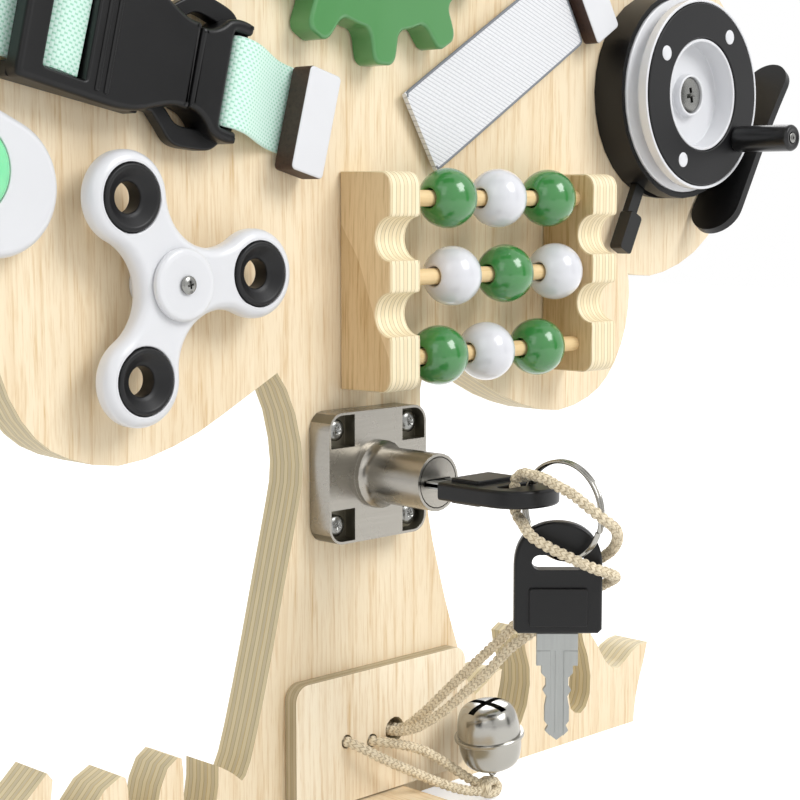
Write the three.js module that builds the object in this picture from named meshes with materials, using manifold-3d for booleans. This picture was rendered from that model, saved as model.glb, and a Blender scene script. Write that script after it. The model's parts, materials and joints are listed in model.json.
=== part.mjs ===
// Tree-shaped wooden activity board for small children, in millimetres.
// +X is to the right, +Z is up, and the front face of the board looks along -Y.
// The origin is at the middle of the board's front face, on the floor.
import * as THREE from 'three';
import { mergeVertices } from 'three/addons/utils/BufferGeometryUtils.js';
import Module from 'manifold-3d';

const wasm = await Module();
wasm.setup();

// Fits that every piece shares
const fit = { gap: 0.3, running: 0.3, overrun: 4, sliding: 0.4 };

// The plywood tree
const board = { width: 408, height: 424, thickness: 15 };
const foot = { width: 26, height: 6, front: 70, rear: 48, cornerRadius: 8 };
const panel = { left: -34, width: 75, bottom: 6.5, top: 47, thickness: 5, cornerRadius: 5 };

// Cords and the holes that they run through
const cord = { radius: 1.65, sides: 8, holeClearance: 0.5, strandGap: 0.5 };
const hole = { bellLeftX: -13, bellLeftZ: 26, bellRightX: -2, bellRightZ: 24, keyX: 8, keyZ: 25.5 };
const rearKnot = { radius: 3.8, doubleRadius: 5.8, height: 5 };

// Abacus
const abacus = {
  left: -10.5, bottom: 135, height: 66, blockWidth: 13, innerWidth: 82, depth: 22,
  notchRadius: 6.5, lowNotchZ: 23.4, highNotchZ: 46, rodRadius: 2.5, rodFromBoard: 14,
  rodSeat: 8, rowZ: [58, 34, 9.5], beadRadius: 9.3,
};
const beadShares = [[0.244, 0.53, 0.83], [0.271, 0.574, 0.878], [0.198, 0.466, 0.77]];

// Three-lobed spinner
const spinner = {
  x: -82.5, z: 169.7, armLength: 28.4, armAngle: 124.3, lobeRadius: 12.7, waist: 12.4,
  thickness: 7, standOff: 7, ringOuter: 9.2, ringInner: 4.2, ringProud: 0.5, ringSeat: 6.6,
  ringDepth: 5.2, postRadius: 3.7, bossRadius: 7.5, capRadius: 10,
  capHeight: 2.2,
};

// Gear train
const gear = {
  x: 0, z: 288, teeth: 12, smallTeeth: 8, pitchRadius: 50.5, addendum: 4.8, dedendum: 5.3,
  thickness: 9.2, backlash: 0.6, trainAngle: 60, pinRadius: 4, headRadius: 8.5, headHeight: 2.6,
  seat: 8, toothAngle: -90,
};
const toothShares = [
  [0.08, 1], [0.15, 0.88], [0.2, 0.54], [0.245, 0.17], [0.34, 0],
];

// Side-release buckle on its webbing
const buckle = {
  x: -28.7, z: 214.8, angle: 15, tilt: 1.5, pivot: 100, barEnd: 103, barWidth: 7.5, windowWidth: 13.5,
  shoulder: 57, mouth: 48, halfWidth: 18.2, mouthHalfWidth: 14, railWidth: 4.4, height: 11.6,
  cavityHalfWidth: 15.3, cavityEnd: 79, sideEnd: 61, barDrop: 5.6, plateHalfWidth: 17.2, maleEnd: 29.8,
  slotStart: 32.8, slotEnd: 36.2, slotHalfWidth: 13.6, barRecess: 2.4, armBack: 2.2, armFront: 6.6,
  armOuter: 21.2, prongEnd: 74, prongOuter: 14.8, guideHalfWidth: 3.2,
};
const webbing = {
  width: 26, thickness: 1.4, leftBlock: 150, underBar: 3.6, inWindow: 8, lift: 12, tail: 5, overlap: 2, dip: 1.6,
};
const armOuterShares = [[0.418, 0.78], [0.46, 0.92], [0.545, 0.99], [0.642, 1], [0.71, 0.83]];
const armInnerShares = [[0.77, 0.51], [0.69, 0.68], [0.632, 0.88], [0.547, 0.88], [0.486, 0.8], [0.446, 0.66]];
const block = { width: 12.6, length: 31, height: 8.2, cornerRadius: 1.5 };

// Hook-and-loop strap
const strap = {
  x: 101, z: 262, angle: 31.5, width: 27.8, loopThickness: 1.8, hookThickness: 1.2,
  reach: 93, hookReach: 84, hookWidth: 24, blockWidth: 13.4, blockLength: 32, blockHeight: 6.4,
};

// Crank reel
const reel = {
  x: 148, z: 229.4, housingRadius: 36.4, housingDepth: 12, wall: 1.8, floor: 2.2, postRadius: 5,
  boreRadius: 2.6, rearRadius: 34.2, rearDepth: 12.6, grooveRadius: 29.6, grooveStart: 13.7,
  grooveEnd: 15.8, frontRadius: 33.2, frontStart: 16.7, face: 20.1, ringOuter: 31.8, ringInner: 19.8,
  ringThickness: 1.9, ringProud: 0.3, lip: 1.1, recessFloor: 12.3, bossRadius: 7.4, bossHeight: 3,
  headRadius: 6.1, headHeight: 1.7, hubRadius: 8.6, hubHeight: 2,
  pinRadius: 2.7, pinProud: 0.5, pinCircle: 25.8, pinAngles: [54, 149, 243], knobAngle: 324,
  knobRadius: 4.7, knobLength: 23.5, crankPinRadius: 1.8, crankSeat: 4, seatScrewDepth: 9,
};
const reelFoot = {
  distance: 41.8, angle: -33.7, offset: 6.6, length: 74, lowWidth: 19.6, highWidth: 17.4,
  thickness: 3, fromBoard: 10.6, stemWidth: 16, stemDepth: 9, stemFromBoard: 6.4, waistShare: 0.8,
};
const lever = {
  angle: 243, pivot: 29, armWidth: 5, armThickness: 2.6, armEnd: 50, tabStart: 47, tabEnd: 61.5,
  tabWidth: 6.5, tabThickness: 5, bossRadius: 4.2, pinRadius: 1.6, fromBoard: 0.6,
};

// Cabinet lock
const lock = {
  x: -2.5, z: 109, width: 41.7, height: 40, depth: 9, cornerRadius: 5.5, pocketWidth: 9.8,
  pocketHeight: 9.8, pocketDepth: 4.4, rim: 0.8, screwX: 15.6, screwZ: 14.6, flareRadius: 10.5,
  flareDepth: 1.6, flareFillet: 3, barrelRadius: 8.7, barrelEnd: 34, plugRadius: 7.5, plugDome: 0.5,
  plugBack: 6.6, boltWidth: 12, boltThickness: 3.2, boltBack: 1.7, boltTop: 4.6,
  camRadius: 1.4, camArm: 4.5, boltSlotHalf: 2.7, plugFlangeRadius: 6.6,
};
const key = {
  bowLength: 32, bowWidth: 25, bowThickness: 5.2, archShare: 0.4, slotFromEnd: 11.5, slotWidth: 15,
  slotHeight: 4.8, labelWidth: 16.5, labelHeight: 11, labelFromEnd: 2.2, labelProud: 0.5,
  shoulderLength: 9.6, shoulderWidth: 11.8, bladeWidth: 9, bladeLength: 21.8, bladeThickness: 2,
  tang: 6, tangWidth: 8, grooveWidth: 1.2, grooveDepth: 0.5,
};
const cutShares = [
  [0, 1], [0.1, 1], [0.16, 0.72], [0.27, 0.72], [0.33, 0.9], [0.41, 0.66], [0.55, 0.78],
  [0.74, 0.78], [0.8, 0.56], [0.87, 0.74],
];
const ring = { radius: 13.9, wire: 1.05, dropZ: 3.6, offsetX: 4.2, play: 0.75 };
const spareKey = { facing: 45.4, shift: -1.2 };

// Jingle bell that stands on the knot of its cord
const bell = {
  x: 36, y: -20.5, lift: 21, radius: 10.2, halfHeight: 11, flatShare: 0.55, wall: 0.7,
  flangeRadius: 11.3, flangeHalf: 0.6, slotWidth: 2.4, slotLength: 15, loopRadius: 1.6,
  loopWire: 0.5, ballRadius: 3.1, tilt: 9, knotRadius: 4.6, knotHalf: 3.4,
};

// Push light
const light = {
  x: -144.3, z: 200.2, angle: 26, halfSpan: 10.2, endRadius: 18, height: 8, edge: 2.2, wall: 1.8,
  lensRadius: 11.9, lensDome: 2.6, lensSkirt: 4.2, ledgeRadius: 13, baseHeight: 0.8,
  cellRadius: 6, cellHeight: 0.6, lampRadius: 1.6, lampHeight: 0.6, cellOffset: 8.4,
};

const colours = {
  birch: [0xf3ddb6, 0.7, 0], dowel: [0xe9cfa2, 0.7, 0], green: [0x559f5b, 0.35, 0],
  white: [0xe9eaec, 0.35, 0], black: [0x2b2b2b, 0.55, 0], softBlack: [0x262724, 0.6, 0],
  nickel: [0xb9b6ae, 0.3, 0.9], chrome: [0xc8c8c8, 0.12, 1], steel: [0xb0b2b2, 0.35, 0.9],
  mint: [0xcdf0e0, 0.9, 0], strapWhite: [0xe6e7e8, 0.9, 0], walnut: [0x46301f, 0.7, 0],
  rope: [0xd8c3a0, 0.95, 0], lens: [0x8eeeb0, 0.3, 0], mintPlastic: [0x9fdcc3, 0.35, 0],
  circuit: [0x3f7f4d, 0.6, 0],
};

const object = new THREE.Group();
const radians = THREE.MathUtils.degToRad;

// Closed geometry with shared corners and its faces outwards
function closed(geometry) {
  const bare = geometry.index ? geometry.toNonIndexed() : geometry.clone();
  bare.deleteAttribute('normal');
  bare.deleteAttribute('uv');
  const merged = mergeVertices(bare, 1e-4);
  const index = [];
  const old = merged.index.array;
  for (let i = 0; i < old.length; i += 3) {
    const [a, b, c] = [old[i], old[i + 1], old[i + 2]];
    if (a !== b && b !== c && c !== a) index.push(a, b, c);
  }
  if (signedVolume(merged.attributes.position, index) < 0) index.reverse();
  merged.setIndex(index);
  return merged;
}

function signedVolume(position, index) {
  const [a, b, c] = [0, 1, 2].map(() => new THREE.Vector3());
  let volume = 0;
  for (let i = 0; i < index.length; i += 3) {
    a.fromBufferAttribute(position, index[i]);
    b.fromBufferAttribute(position, index[i + 1]);
    c.fromBufferAttribute(position, index[i + 2]);
    volume += a.dot(b.cross(c));
  }
  return volume;
}

function solid(geometry) {
  const shape = closed(geometry);
  return new wasm.Manifold(new wasm.Mesh({
    numProp: 3,
    vertProperties: new Float32Array(shape.attributes.position.array),
    triVerts: new Uint32Array(shape.index.array),
  }));
}

function geometryOf(manifold) {
  const mesh = manifold.getMesh();
  const geometry = new THREE.BufferGeometry();
  geometry.setAttribute('position', new THREE.BufferAttribute(new Float32Array(mesh.vertProperties), 3));
  geometry.setIndex(new THREE.BufferAttribute(new Uint32Array(mesh.triVerts), 1));
  return geometry;
}

function cut(geometry, ...tools) {
  return geometryOf(tools.reduce((body, tool) => body.subtract(solid(tool)), solid(geometry)));
}

function join(geometry, ...others) {
  return geometryOf(others.reduce((body, other) => body.add(solid(other)), solid(geometry)));
}

function add(name, geometry, colour, parent = object) {
  const [hex, roughness, metalness] = colours[colour];
  const material = new THREE.MeshStandardMaterial({ color: hex, roughness, metalness });
  const mesh = new THREE.Mesh(geometry, material);
  mesh.name = name;
  parent.add(mesh);
  return mesh;
}

// A group whose own X and Z lie in the board's plane, turned by an angle above +X
function frameAt(x, z, angle = 0) {
  const group = new THREE.Group();
  group.position.set(x, 0, z);
  group.rotation.y = -radians(angle);
  object.add(group);
  return group;
}

// Shape in X and Z, with its front face at front and its back face at back (both along Y)
function plate(shape, front, back, curveSegments = 10) {
  const geometry = new THREE.ExtrudeGeometry(shape, { depth: back - front, bevelEnabled: false, curveSegments });
  geometry.rotateX(Math.PI / 2);
  geometry.translate(0, back, 0);
  return geometry;
}

// Round solid about Y from a closed profile of [radius, Y] points
function turned(profile, segments = 32) {
  const points = [...profile, profile[0]].map(([r, y]) => new THREE.Vector2(r, y));
  return new THREE.LatheGeometry(points, segments);
}

function disc(radius, front, back, segments = 24) {
  return turned([[0, front], [radius, front], [radius, back], [0, back]], segments);
}

function tubeOf(outer, inner, front, back, segments = 32) {
  return turned([[inner, front], [outer, front], [outer, back], [inner, back]], segments);
}

function box(x0, x1, y0, y1, z0, z1) {
  const geometry = new THREE.BoxGeometry(x1 - x0, y1 - y0, z1 - z0);
  geometry.translate((x0 + x1) / 2, (y0 + y1) / 2, (z0 + z1) / 2);
  return geometry;
}

function placed(geometry, x, z, y = 0) {
  return geometry.clone().translate(x, y, z);
}

function roundedRectangle(x0, x1, z0, z1, r) {
  const shape = new THREE.Shape();
  shape.moveTo(x0 + r, z0);
  shape.lineTo(x1 - r, z0);
  shape.absarc(x1 - r, z0 + r, r, -Math.PI / 2, 0);
  shape.lineTo(x1, z1 - r);
  shape.absarc(x1 - r, z1 - r, r, 0, Math.PI / 2);
  shape.lineTo(x0 + r, z1);
  shape.absarc(x0 + r, z1 - r, r, Math.PI / 2, Math.PI);
  shape.lineTo(x0, z0 + r);
  shape.absarc(x0 + r, z0 + r, r, Math.PI, 1.5 * Math.PI);
  return shape;
}

function polygon(points) {
  const shape = new THREE.Shape();
  points.forEach(([x, z], i) => (i ? shape.lineTo(x, z) : shape.moveTo(x, z)));
  shape.closePath();
  return shape;
}

// Points of a smooth run through a few places
function smooth(places, steps) {
  const curve = new THREE.SplineCurve(places.map(([x, z]) => new THREE.Vector2(x, z)));
  return curve.getPoints(steps).map((p) => [p.x, p.y]);
}

// Band of even thickness along places in X and Y, of a width along Z
function band(places, thickness, width) {
  const half = thickness / 2;
  const sides = [1, -1].map((side) => places.map(([x, y], i) => {
    const [x0, y0] = places[Math.max(i - 1, 0)];
    const [x1, y1] = places[Math.min(i + 1, places.length - 1)];
    const length = Math.hypot(x1 - x0, y1 - y0);
    return [x - side * half * (y1 - y0) / length, y + side * half * (x1 - x0) / length];
  }));
  const shape = polygon([...sides[0], ...sides[1].reverse()]);
  const geometry = new THREE.ExtrudeGeometry(shape, { depth: width, bevelEnabled: false });
  geometry.translate(0, 0, -width / 2);
  return geometry;
}

// Tube along a route of [x, y, z] places
function tube(route, radius, sides, steps) {
  const curve = new THREE.CatmullRomCurve3(route.map((p) => new THREE.Vector3(...p)), false, 'centripetal');
  const section = new THREE.Shape();
  for (let i = 0; i < sides; i += 1) {
    const angle = (2 * Math.PI * i) / sides;
    const [x, y] = [radius * Math.cos(angle), radius * Math.sin(angle)];
    if (i) section.lineTo(x, y);
    else section.moveTo(x, y);
  }
  section.closePath();
  return new THREE.ExtrudeGeometry(section, { extrudePath: curve, steps, bevelEnabled: false });
}

// Screw with a cross recess, its head's front at front
function screw(headRadius, headHeight, radius, front, back, recessShare = 0.55) {
  const body = turned([
    [0, front], [headRadius * 0.8, front], [headRadius, front + headHeight * 0.4],
    [headRadius, front + headHeight], [radius, front + headHeight], [radius, back], [0, back],
  ], 16);
  const reach = headRadius * recessShare;
  const arm = reach * 0.3;
  const depth = headHeight * 0.6;
  return cut(
    body,
    box(-reach, reach, front - fit.overrun, front + depth, -arm, arm),
    box(-arm, arm, front - fit.overrun, front + depth, -reach, reach),
  );
}

// Outline of the tree as shares of its width and height, right half of the crown first
const lowLobeShares = [
  [0.088, 0.334], [0.127, 0.315], [0.172, 0.295], [0.225, 0.283], [0.27, 0.291], [0.299, 0.309],
  [0.319, 0.34], [0.326, 0.373], [0.324, 0.392],
];
const sideLobeShares = [
  [0.324, 0.392], [0.365, 0.39], [0.422, 0.408], [0.468, 0.446], [0.498, 0.502], [0.498, 0.566],
  [0.468, 0.618], [0.422, 0.649], [0.392, 0.658],
];
const highLobeShares = [
  [0.392, 0.658], [0.409, 0.7], [0.406, 0.752], [0.378, 0.802], [0.331, 0.838], [0.275, 0.854],
  [0.235, 0.853],
];
const topLobeShares = [[0.235, 0.853], [0.223, 0.905], [0.174, 0.957], [0.093, 0.99], [0, 1]];
const trunkRightShares = [
  [0.088, 0.334], [0.068, 0.329], [0.061, 0.31], [0.064, 0.26], [0.071, 0.213], [0.081, 0.177],
  [0.092, 0.142], [0.103, 0.113], [0.115, 0.081], [0.127, 0.064],
];
const trunkLeftShares = [
  [-0.088, 0.334], [-0.074, 0.313], [-0.065, 0.281], [-0.064, 0.257], [-0.069, 0.234], [-0.081, 0.189],
  [-0.096, 0.132], [-0.11, 0.083], [-0.119, 0.057], [-0.125, 0.05],
];
const grassRightShares = [
  [[0.127, 0.064], [0.14, 0.071], [0.152, 0.078], [0.16, 0.079]],
  [[0.16, 0.079], [0.157, 0.064], [0.153, 0.05], [0.157, 0.031], [0.169, 0.021], [0.181, 0.026],
    [0.191, 0.04], [0.196, 0.061], [0.194, 0.08], [0.186, 0.099], [0.196, 0.106]],
  [[0.196, 0.106], [0.221, 0.097], [0.243, 0.08], [0.251, 0.066]],
  [[0.251, 0.066], [0.248, 0.047], [0.25, 0.031], [0.257, 0.024], [0.267, 0.023], [0.276, 0.033],
    [0.278, 0.052], [0.272, 0.075], [0.265, 0.088], [0.27, 0.094]],
  [[0.27, 0.094], [0.28, 0.087], [0.299, 0.061], [0.314, 0.052], [0.328, 0.057], [0.343, 0.066],
    [0.36, 0.068]],
  [[0.36, 0.068], [0.355, 0.052], [0.348, 0.035], [0.343, 0.017], [0.341, 0]],
];
const grassLeftShares = [
  [[-0.125, 0.05], [-0.135, 0.058], [-0.147, 0.065]],
  [[-0.147, 0.065], [-0.148, 0.045], [-0.154, 0.028], [-0.165, 0.022], [-0.175, 0.031], [-0.179, 0.052],
    [-0.179, 0.075], [-0.184, 0.079]],
  [[-0.184, 0.079], [-0.196, 0.07], [-0.202, 0.05], [-0.207, 0.033], [-0.216, 0.028], [-0.223, 0.04],
    [-0.227, 0.059], [-0.228, 0.073], [-0.233, 0.077]],
  [[-0.233, 0.077], [-0.252, 0.067], [-0.265, 0.047], [-0.27, 0.031], [-0.282, 0.024], [-0.292, 0.035],
    [-0.294, 0.059], [-0.288, 0.083], [-0.293, 0.092]],
  [[-0.293, 0.092], [-0.313, 0.075], [-0.333, 0.061], [-0.35, 0.064], [-0.363, 0.068]],
  [[-0.363, 0.068], [-0.355, 0.045], [-0.346, 0.02], [-0.343, 0]],
];

function run(shares, steps, mirrored = 1) {
  return smooth(shares.map(([x, z]) => [mirrored * x * board.width, z * board.height]), steps);
}

function treeOutline() {
  const half = [];
  const lobes = [[lowLobeShares, 18], [sideLobeShares, 20], [highLobeShares, 16], [topLobeShares, 13]];
  lobes.forEach(([shares, steps]) => half.push(...run(shares, steps).slice(1)));
  const mirroredHalf = half.slice(0, -1).map(([x, z]) => [-x, z]).reverse();
  const left = [run(trunkLeftShares, 14), ...grassLeftShares.map((blade) => run(blade, blade.length + 2))];
  const right = [run(trunkRightShares, 14), ...grassRightShares.map((blade) => run(blade, blade.length + 2))];
  const rightSide = right.flatMap((points) => points.slice(0, -1));
  const leftSide = left.flatMap((points) => points.slice(0, -1));
  const rightEnd = [0.341 * board.width, 0];
  const leftEnd = [-0.343 * board.width, 0];
  return polygon([...half, ...mirroredHalf, ...leftSide, leftEnd, rightEnd, ...rightSide.reverse()]);
}

// Places that other pieces share
const bigPin = [gear.x, gear.z];
const pitchSmall = (gear.pitchRadius * gear.smallTeeth) / gear.teeth;
const gearDistance = gear.pitchRadius + pitchSmall + gear.backlash;
const smallPins = [gear.trainAngle, 180 - gear.trainAngle].map((angle) => [
  gear.x + gearDistance * Math.cos(radians(angle)),
  gear.z + gearDistance * Math.sin(radians(angle)),
]);
const lockScrews = [-1, 1].flatMap((sx) => [-1, 1].map((sz) => [
  lock.x + sx * lock.screwX, lock.z + sz * lock.screwZ,
]));
const cordHoles = [
  [hole.bellLeftX, hole.bellLeftZ, cord.radius + cord.holeClearance],
  [hole.bellRightX, hole.bellRightZ, cord.radius + cord.holeClearance],
  [hole.keyX, hole.keyZ, 2 * cord.radius + cord.strandGap / 2 + cord.holeClearance],
];
const screwInWood = { radius: 1.5, length: 10 };
const pilotRadius = screwInWood.radius + fit.gap;

function buildBoard() {
  const tools = [];
  const through = (x, z, r) => tools.push(placed(disc(r, -fit.overrun, board.thickness + fit.overrun, 14), x, z));
  const blind = (x, z, r, depth) => tools.push(placed(disc(r, -fit.overrun, depth, 12), x, z));
  cordHoles.forEach(([x, z, r]) => through(x, z, r));
  [bigPin, ...smallPins].forEach(([x, z]) => blind(x, z, gear.pinRadius + fit.gap, gear.seat + fit.gap));
  lockScrews.forEach(([x, z]) => blind(x, z, pilotRadius, screwInWood.length));
  blind(spinner.x, spinner.z, pilotRadius, screwInWood.length);
  blind(reel.x, reel.z, reel.boreRadius, reel.seatScrewDepth + fit.gap);
  const notch = foot.width / 2 + fit.gap;
  tools.push(box(-notch, notch, -fit.overrun, board.thickness + fit.overrun, -fit.overrun, foot.height + fit.gap));
  return cut(plate(treeOutline(), 0, board.thickness), ...tools);
}

function buildStand() {
  const shape = roundedRectangle(-foot.width / 2, foot.width / 2, -foot.rear, foot.front, foot.cornerRadius);
  const bar = new THREE.ExtrudeGeometry(shape, { depth: foot.height, bevelEnabled: false, curveSegments: 5 });
  add('cross_foot', bar.rotateX(Math.PI).translate(0, 0, foot.height), 'birch');
}

function buildPanel() {
  const { left, width, bottom, top, cornerRadius, thickness } = panel;
  const shape = roundedRectangle(left, left + width, bottom, top, cornerRadius);
  const front = -thickness - fit.gap;
  const tools = cordHoles.map(([x, z, r]) => placed(disc(r, front - fit.overrun, fit.overrun, 14), x, z));
  add('cord_panel', cut(plate(shape, front, -fit.gap, 6), ...tools), 'birch');
}

// Abacus pieces
const rodLeft = abacus.left + abacus.blockWidth;
const rodRight = rodLeft + abacus.innerWidth;
const rodNames = ['top', 'middle', 'bottom'];

function abacusBlock(x0) {
  const { blockWidth, bottom, height, depth, notchRadius, lowNotchZ, highNotchZ } = abacus;
  const front = -depth;
  const body = box(x0, x0 + blockWidth, front, -fit.gap, bottom, bottom + height);
  const notches = [lowNotchZ, highNotchZ].map((z) => {
    const tool = disc(notchRadius, -blockWidth - fit.overrun, fit.overrun, 20);
    return tool.rotateZ(Math.PI / 2).translate(x0, front, bottom + z);
  });
  const holes = abacus.rowZ.map((z) => {
    const toRight = x0 < rodLeft;
    const start = toRight ? x0 + blockWidth - abacus.rodSeat - fit.gap : x0 - fit.overrun;
    const end = toRight ? x0 + blockWidth + fit.overrun : x0 + abacus.rodSeat + fit.gap;
    return rodAlongX(abacus.rodRadius + fit.gap, start, end, bottom + z);
  });
  return cut(body, ...notches, ...holes);
}

function rodAlongX(radius, x0, x1, z, segments = 16) {
  const rod = disc(radius, -(x1 - x0), 0, segments);
  return rod.rotateZ(Math.PI / 2).translate(x0, -abacus.rodFromBoard, z);
}

function buildAbacus() {
  add('abacus_left_block', abacusBlock(abacus.left), 'birch');
  add('abacus_right_block', abacusBlock(rodRight), 'birch');
  abacus.rowZ.forEach((z, row) => add(`rod_${rodNames[row]}`, rodAlongX(
    abacus.rodRadius, rodLeft - abacus.rodSeat, rodRight + abacus.rodSeat, abacus.bottom + z,
  ), 'dowel'));
  abacus.rowZ.forEach((z, row) => beadShares[row].forEach((share, i) => {
    const x = rodLeft + share * abacus.innerWidth;
    const bore = rodAlongX(
      abacus.rodRadius + 2 * fit.running, x - 2 * abacus.beadRadius, x + 2 * abacus.beadRadius,
      abacus.bottom + z, 8,
    );
    const ball = new THREE.SphereGeometry(abacus.beadRadius, 12, 8);
    ball.rotateZ(Math.PI / 2).translate(x, -abacus.rodFromBoard, abacus.bottom + z);
    add(`bead_${rodNames[row]}_${i + 1}`, cut(ball, bore), (row + i) % 2 ? 'white' : 'green');
  }));
}

// Spinner pieces, in a frame at its hub
function spinnerOutline() {
  const { armLength, lobeRadius, waist } = spinner;
  const rise = lobeRadius ** 2 - waist ** 2 - armLength ** 2 + waist * armLength;
  const hollow = rise / (2 * waist - armLength - 2 * lobeRadius);
  const reach = waist + hollow;
  const shape = new THREE.Shape();
  [0, 1, 2].forEach((i) => {
    const arm = radians(spinner.armAngle - 120 * i);
    const between = arm - Math.PI / 3;
    const [x, z] = [armLength * Math.cos(arm), armLength * Math.sin(arm)];
    const [hx, hz] = [reach * Math.cos(between), reach * Math.sin(between)];
    const entry = Math.atan2(hz - z, hx - x);
    const exit = 2 * arm - entry;
    shape.absarc(x, z, lobeRadius, exit, entry, true);
    const half = Math.PI + entry - between;
    shape.absarc(hx, hz, hollow, between + half, between - half, false);
  });
  return shape;
}

function buildSpinner() {
  const hub = frameAt(spinner.x, spinner.z);
  const back = -spinner.standOff;
  const front = back - spinner.thickness;
  const lobes = [0, 1, 2].map((i) => {
    const angle = radians(spinner.armAngle - 120 * i);
    return [spinner.armLength * Math.cos(angle), spinner.armLength * Math.sin(angle)];
  });
  const { ringOuter, ringInner, ringProud, ringSeat, ringDepth } = spinner;
  const tools = lobes.map(([x, z]) => placed(turned([
    [0, front - fit.overrun], [ringOuter + fit.gap, front - fit.overrun],
    [ringOuter + fit.gap, front + ringDepth + fit.gap], [ringSeat, front + ringDepth + fit.gap],
    [ringSeat, back + fit.overrun], [0, back + fit.overrun],
  ], 20), x, z));
  tools.push(disc(spinner.postRadius + fit.running, front - fit.overrun, fit.overrun));
  const boss = disc(spinner.bossRadius, back - fit.overrun, -fit.sliding);
  add('spinner_body', cut(join(plate(spinnerOutline(), front, back, 9), boss), ...tools), 'white', hub);
  lobes.forEach(([x, z], i) => add(`spinner_ring_${i + 1}`, placed(turned([
    [ringInner, front + ringProud * 2], [ringInner + ringProud * 3, front - ringProud],
    [ringOuter - ringProud, front - ringProud], [ringOuter, front], [ringOuter, front + ringDepth],
    [ringInner, front + ringDepth],
  ], 20), x, z), 'black', hub));
  const capBack = front - fit.running;
  const capFront = capBack - spinner.capHeight;
  const cap = cut(
    turned([
      [0, capFront + 0.3 * spinner.capHeight], [0.45 * spinner.capRadius, capFront],
      [0.86 * spinner.capRadius, capFront], [spinner.capRadius, capFront + 0.45 * spinner.capHeight],
      [spinner.capRadius, capBack], [spinner.postRadius, capBack], [spinner.postRadius, -fit.gap],
      [0, -fit.gap],
    ], 20),
    disc(pilotRadius, capFront - fit.overrun, fit.overrun, 16),
  );
  add('spinner_cap', cap, 'white', hub);
  const headFront = capFront - fit.gap - 0.6 * spinner.capHeight;
  add('spinner_screw', screw(
    2 * screwInWood.radius, 0.6 * spinner.capHeight, screwInWood.radius, headFront,
    screwInWood.length - fit.gap, 0.7,
  ), 'steel', hub);
}

// Gear pieces
function gearOutline(teeth, pitch, phase) {
  const points = [];
  const root = pitch - gear.dedendum;
  const rise = gear.addendum + gear.dedendum;
  for (let tooth = 0; tooth < teeth; tooth += 1) {
    const sides = [...toothShares.map(([s, h]) => [-s, h]).reverse(), ...toothShares];
    sides.forEach(([s, h]) => {
      const angle = radians(phase + (360 * (tooth + s)) / teeth);
      const r = root + h * rise;
      points.push([r * Math.cos(angle), r * Math.sin(angle)]);
    });
  }
  return polygon(points);
}

function buildGears() {
  const back = -fit.sliding;
  const front = back - gear.thickness;
  const wheel = (name, [x, z], teeth, pitch, phase, colour) => {
    const group = frameAt(x, z);
    const bore = disc(gear.pinRadius + fit.running, front - fit.overrun, back + fit.overrun);
    add(name, cut(plate(gearOutline(teeth, pitch, phase), front, back), bore), colour, group);
  };
  wheel('large_gear', bigPin, gear.teeth, gear.pitchRadius, gear.toothAngle, 'green');
  const halfTooth = 180 / gear.smallTeeth;
  wheel('right_gear', smallPins[0], gear.smallTeeth, pitchSmall, gear.trainAngle + 180 + halfTooth, 'white');
  wheel('left_gear', smallPins[1], gear.smallTeeth, pitchSmall, -gear.trainAngle + halfTooth, 'mintPlastic');
  const headBack = front - fit.running;
  const headFront = headBack - gear.headHeight;
  const names = ['large_gear_pin', 'right_gear_pin', 'left_gear_pin'];
  [bigPin, ...smallPins].forEach(([x, z], i) => add(names[i], placed(turned([
    [0, headFront], [0.75 * gear.headRadius, headFront], [gear.headRadius, headFront + 0.5 * gear.headHeight],
    [gear.headRadius, headBack], [gear.pinRadius, headBack], [gear.pinRadius, gear.seat], [0, gear.seat],
  ], 18), x, z), 'white'));
}

// Buckle and webbing, in a frame whose -X runs up the strap to the left
const buckleBack = -fit.sliding;
const buckleFront = buckleBack - buckle.height;

function buildBuckleFemale(buckleFrame) {
  const { barEnd, barWidth, windowWidth, shoulder, mouth, halfWidth, mouthHalfWidth, railWidth } = buckle;
  const body = plate(polygon([
    [-barEnd, -halfWidth], [-barEnd, halfWidth], [-shoulder, halfWidth - railWidth / 5],
    [-mouth, mouthHalfWidth], [-mouth, -mouthHalfWidth], [-shoulder, railWidth / 5 - halfWidth],
  ]), buckleFront, buckleBack);
  const inside = halfWidth - railWidth;
  const windowStart = -barEnd + barWidth;
  const hollow = buckle.cavityHalfWidth;
  const side = halfWidth + fit.overrun;
  const hollowFront = -buckle.armFront - fit.gap;
  const hollowBack = -buckle.armBack + fit.gap;
  const underBar = buckleFront + buckle.barDrop;
  add('buckle_female', cut(
    body,
    box(windowStart, windowStart + windowWidth, buckleFront - fit.overrun, fit.overrun, -inside, inside),
    box(-barEnd - fit.overrun, windowStart + fit.overrun, underBar, fit.overrun, -inside, inside),
    box(-buckle.cavityEnd, fit.overrun, hollowFront, hollowBack, -hollow, hollow),
    box(-buckle.sideEnd, fit.overrun, hollowFront, hollowBack, -side, side),
  ), 'black', buckleFrame);
}

// Outline of an arm in front view: out from the plate's end, bowed, then into the other half
function armOutline(side) {
  const { prongEnd, prongOuter, armOuter } = buckle;
  const scaled = (shares) => shares.map(([x, z]) => [-x * prongEnd, z * armOuter]);
  const entry = 0.757 * prongEnd;
  const outer = [...scaled(armOuterShares), [-entry, prongOuter], [-prongEnd, prongOuter]];
  return [...outer, [-prongEnd, 0.73 * prongOuter], ...scaled(armInnerShares)].map(([x, z]) => [x, side * z]);
}

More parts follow.
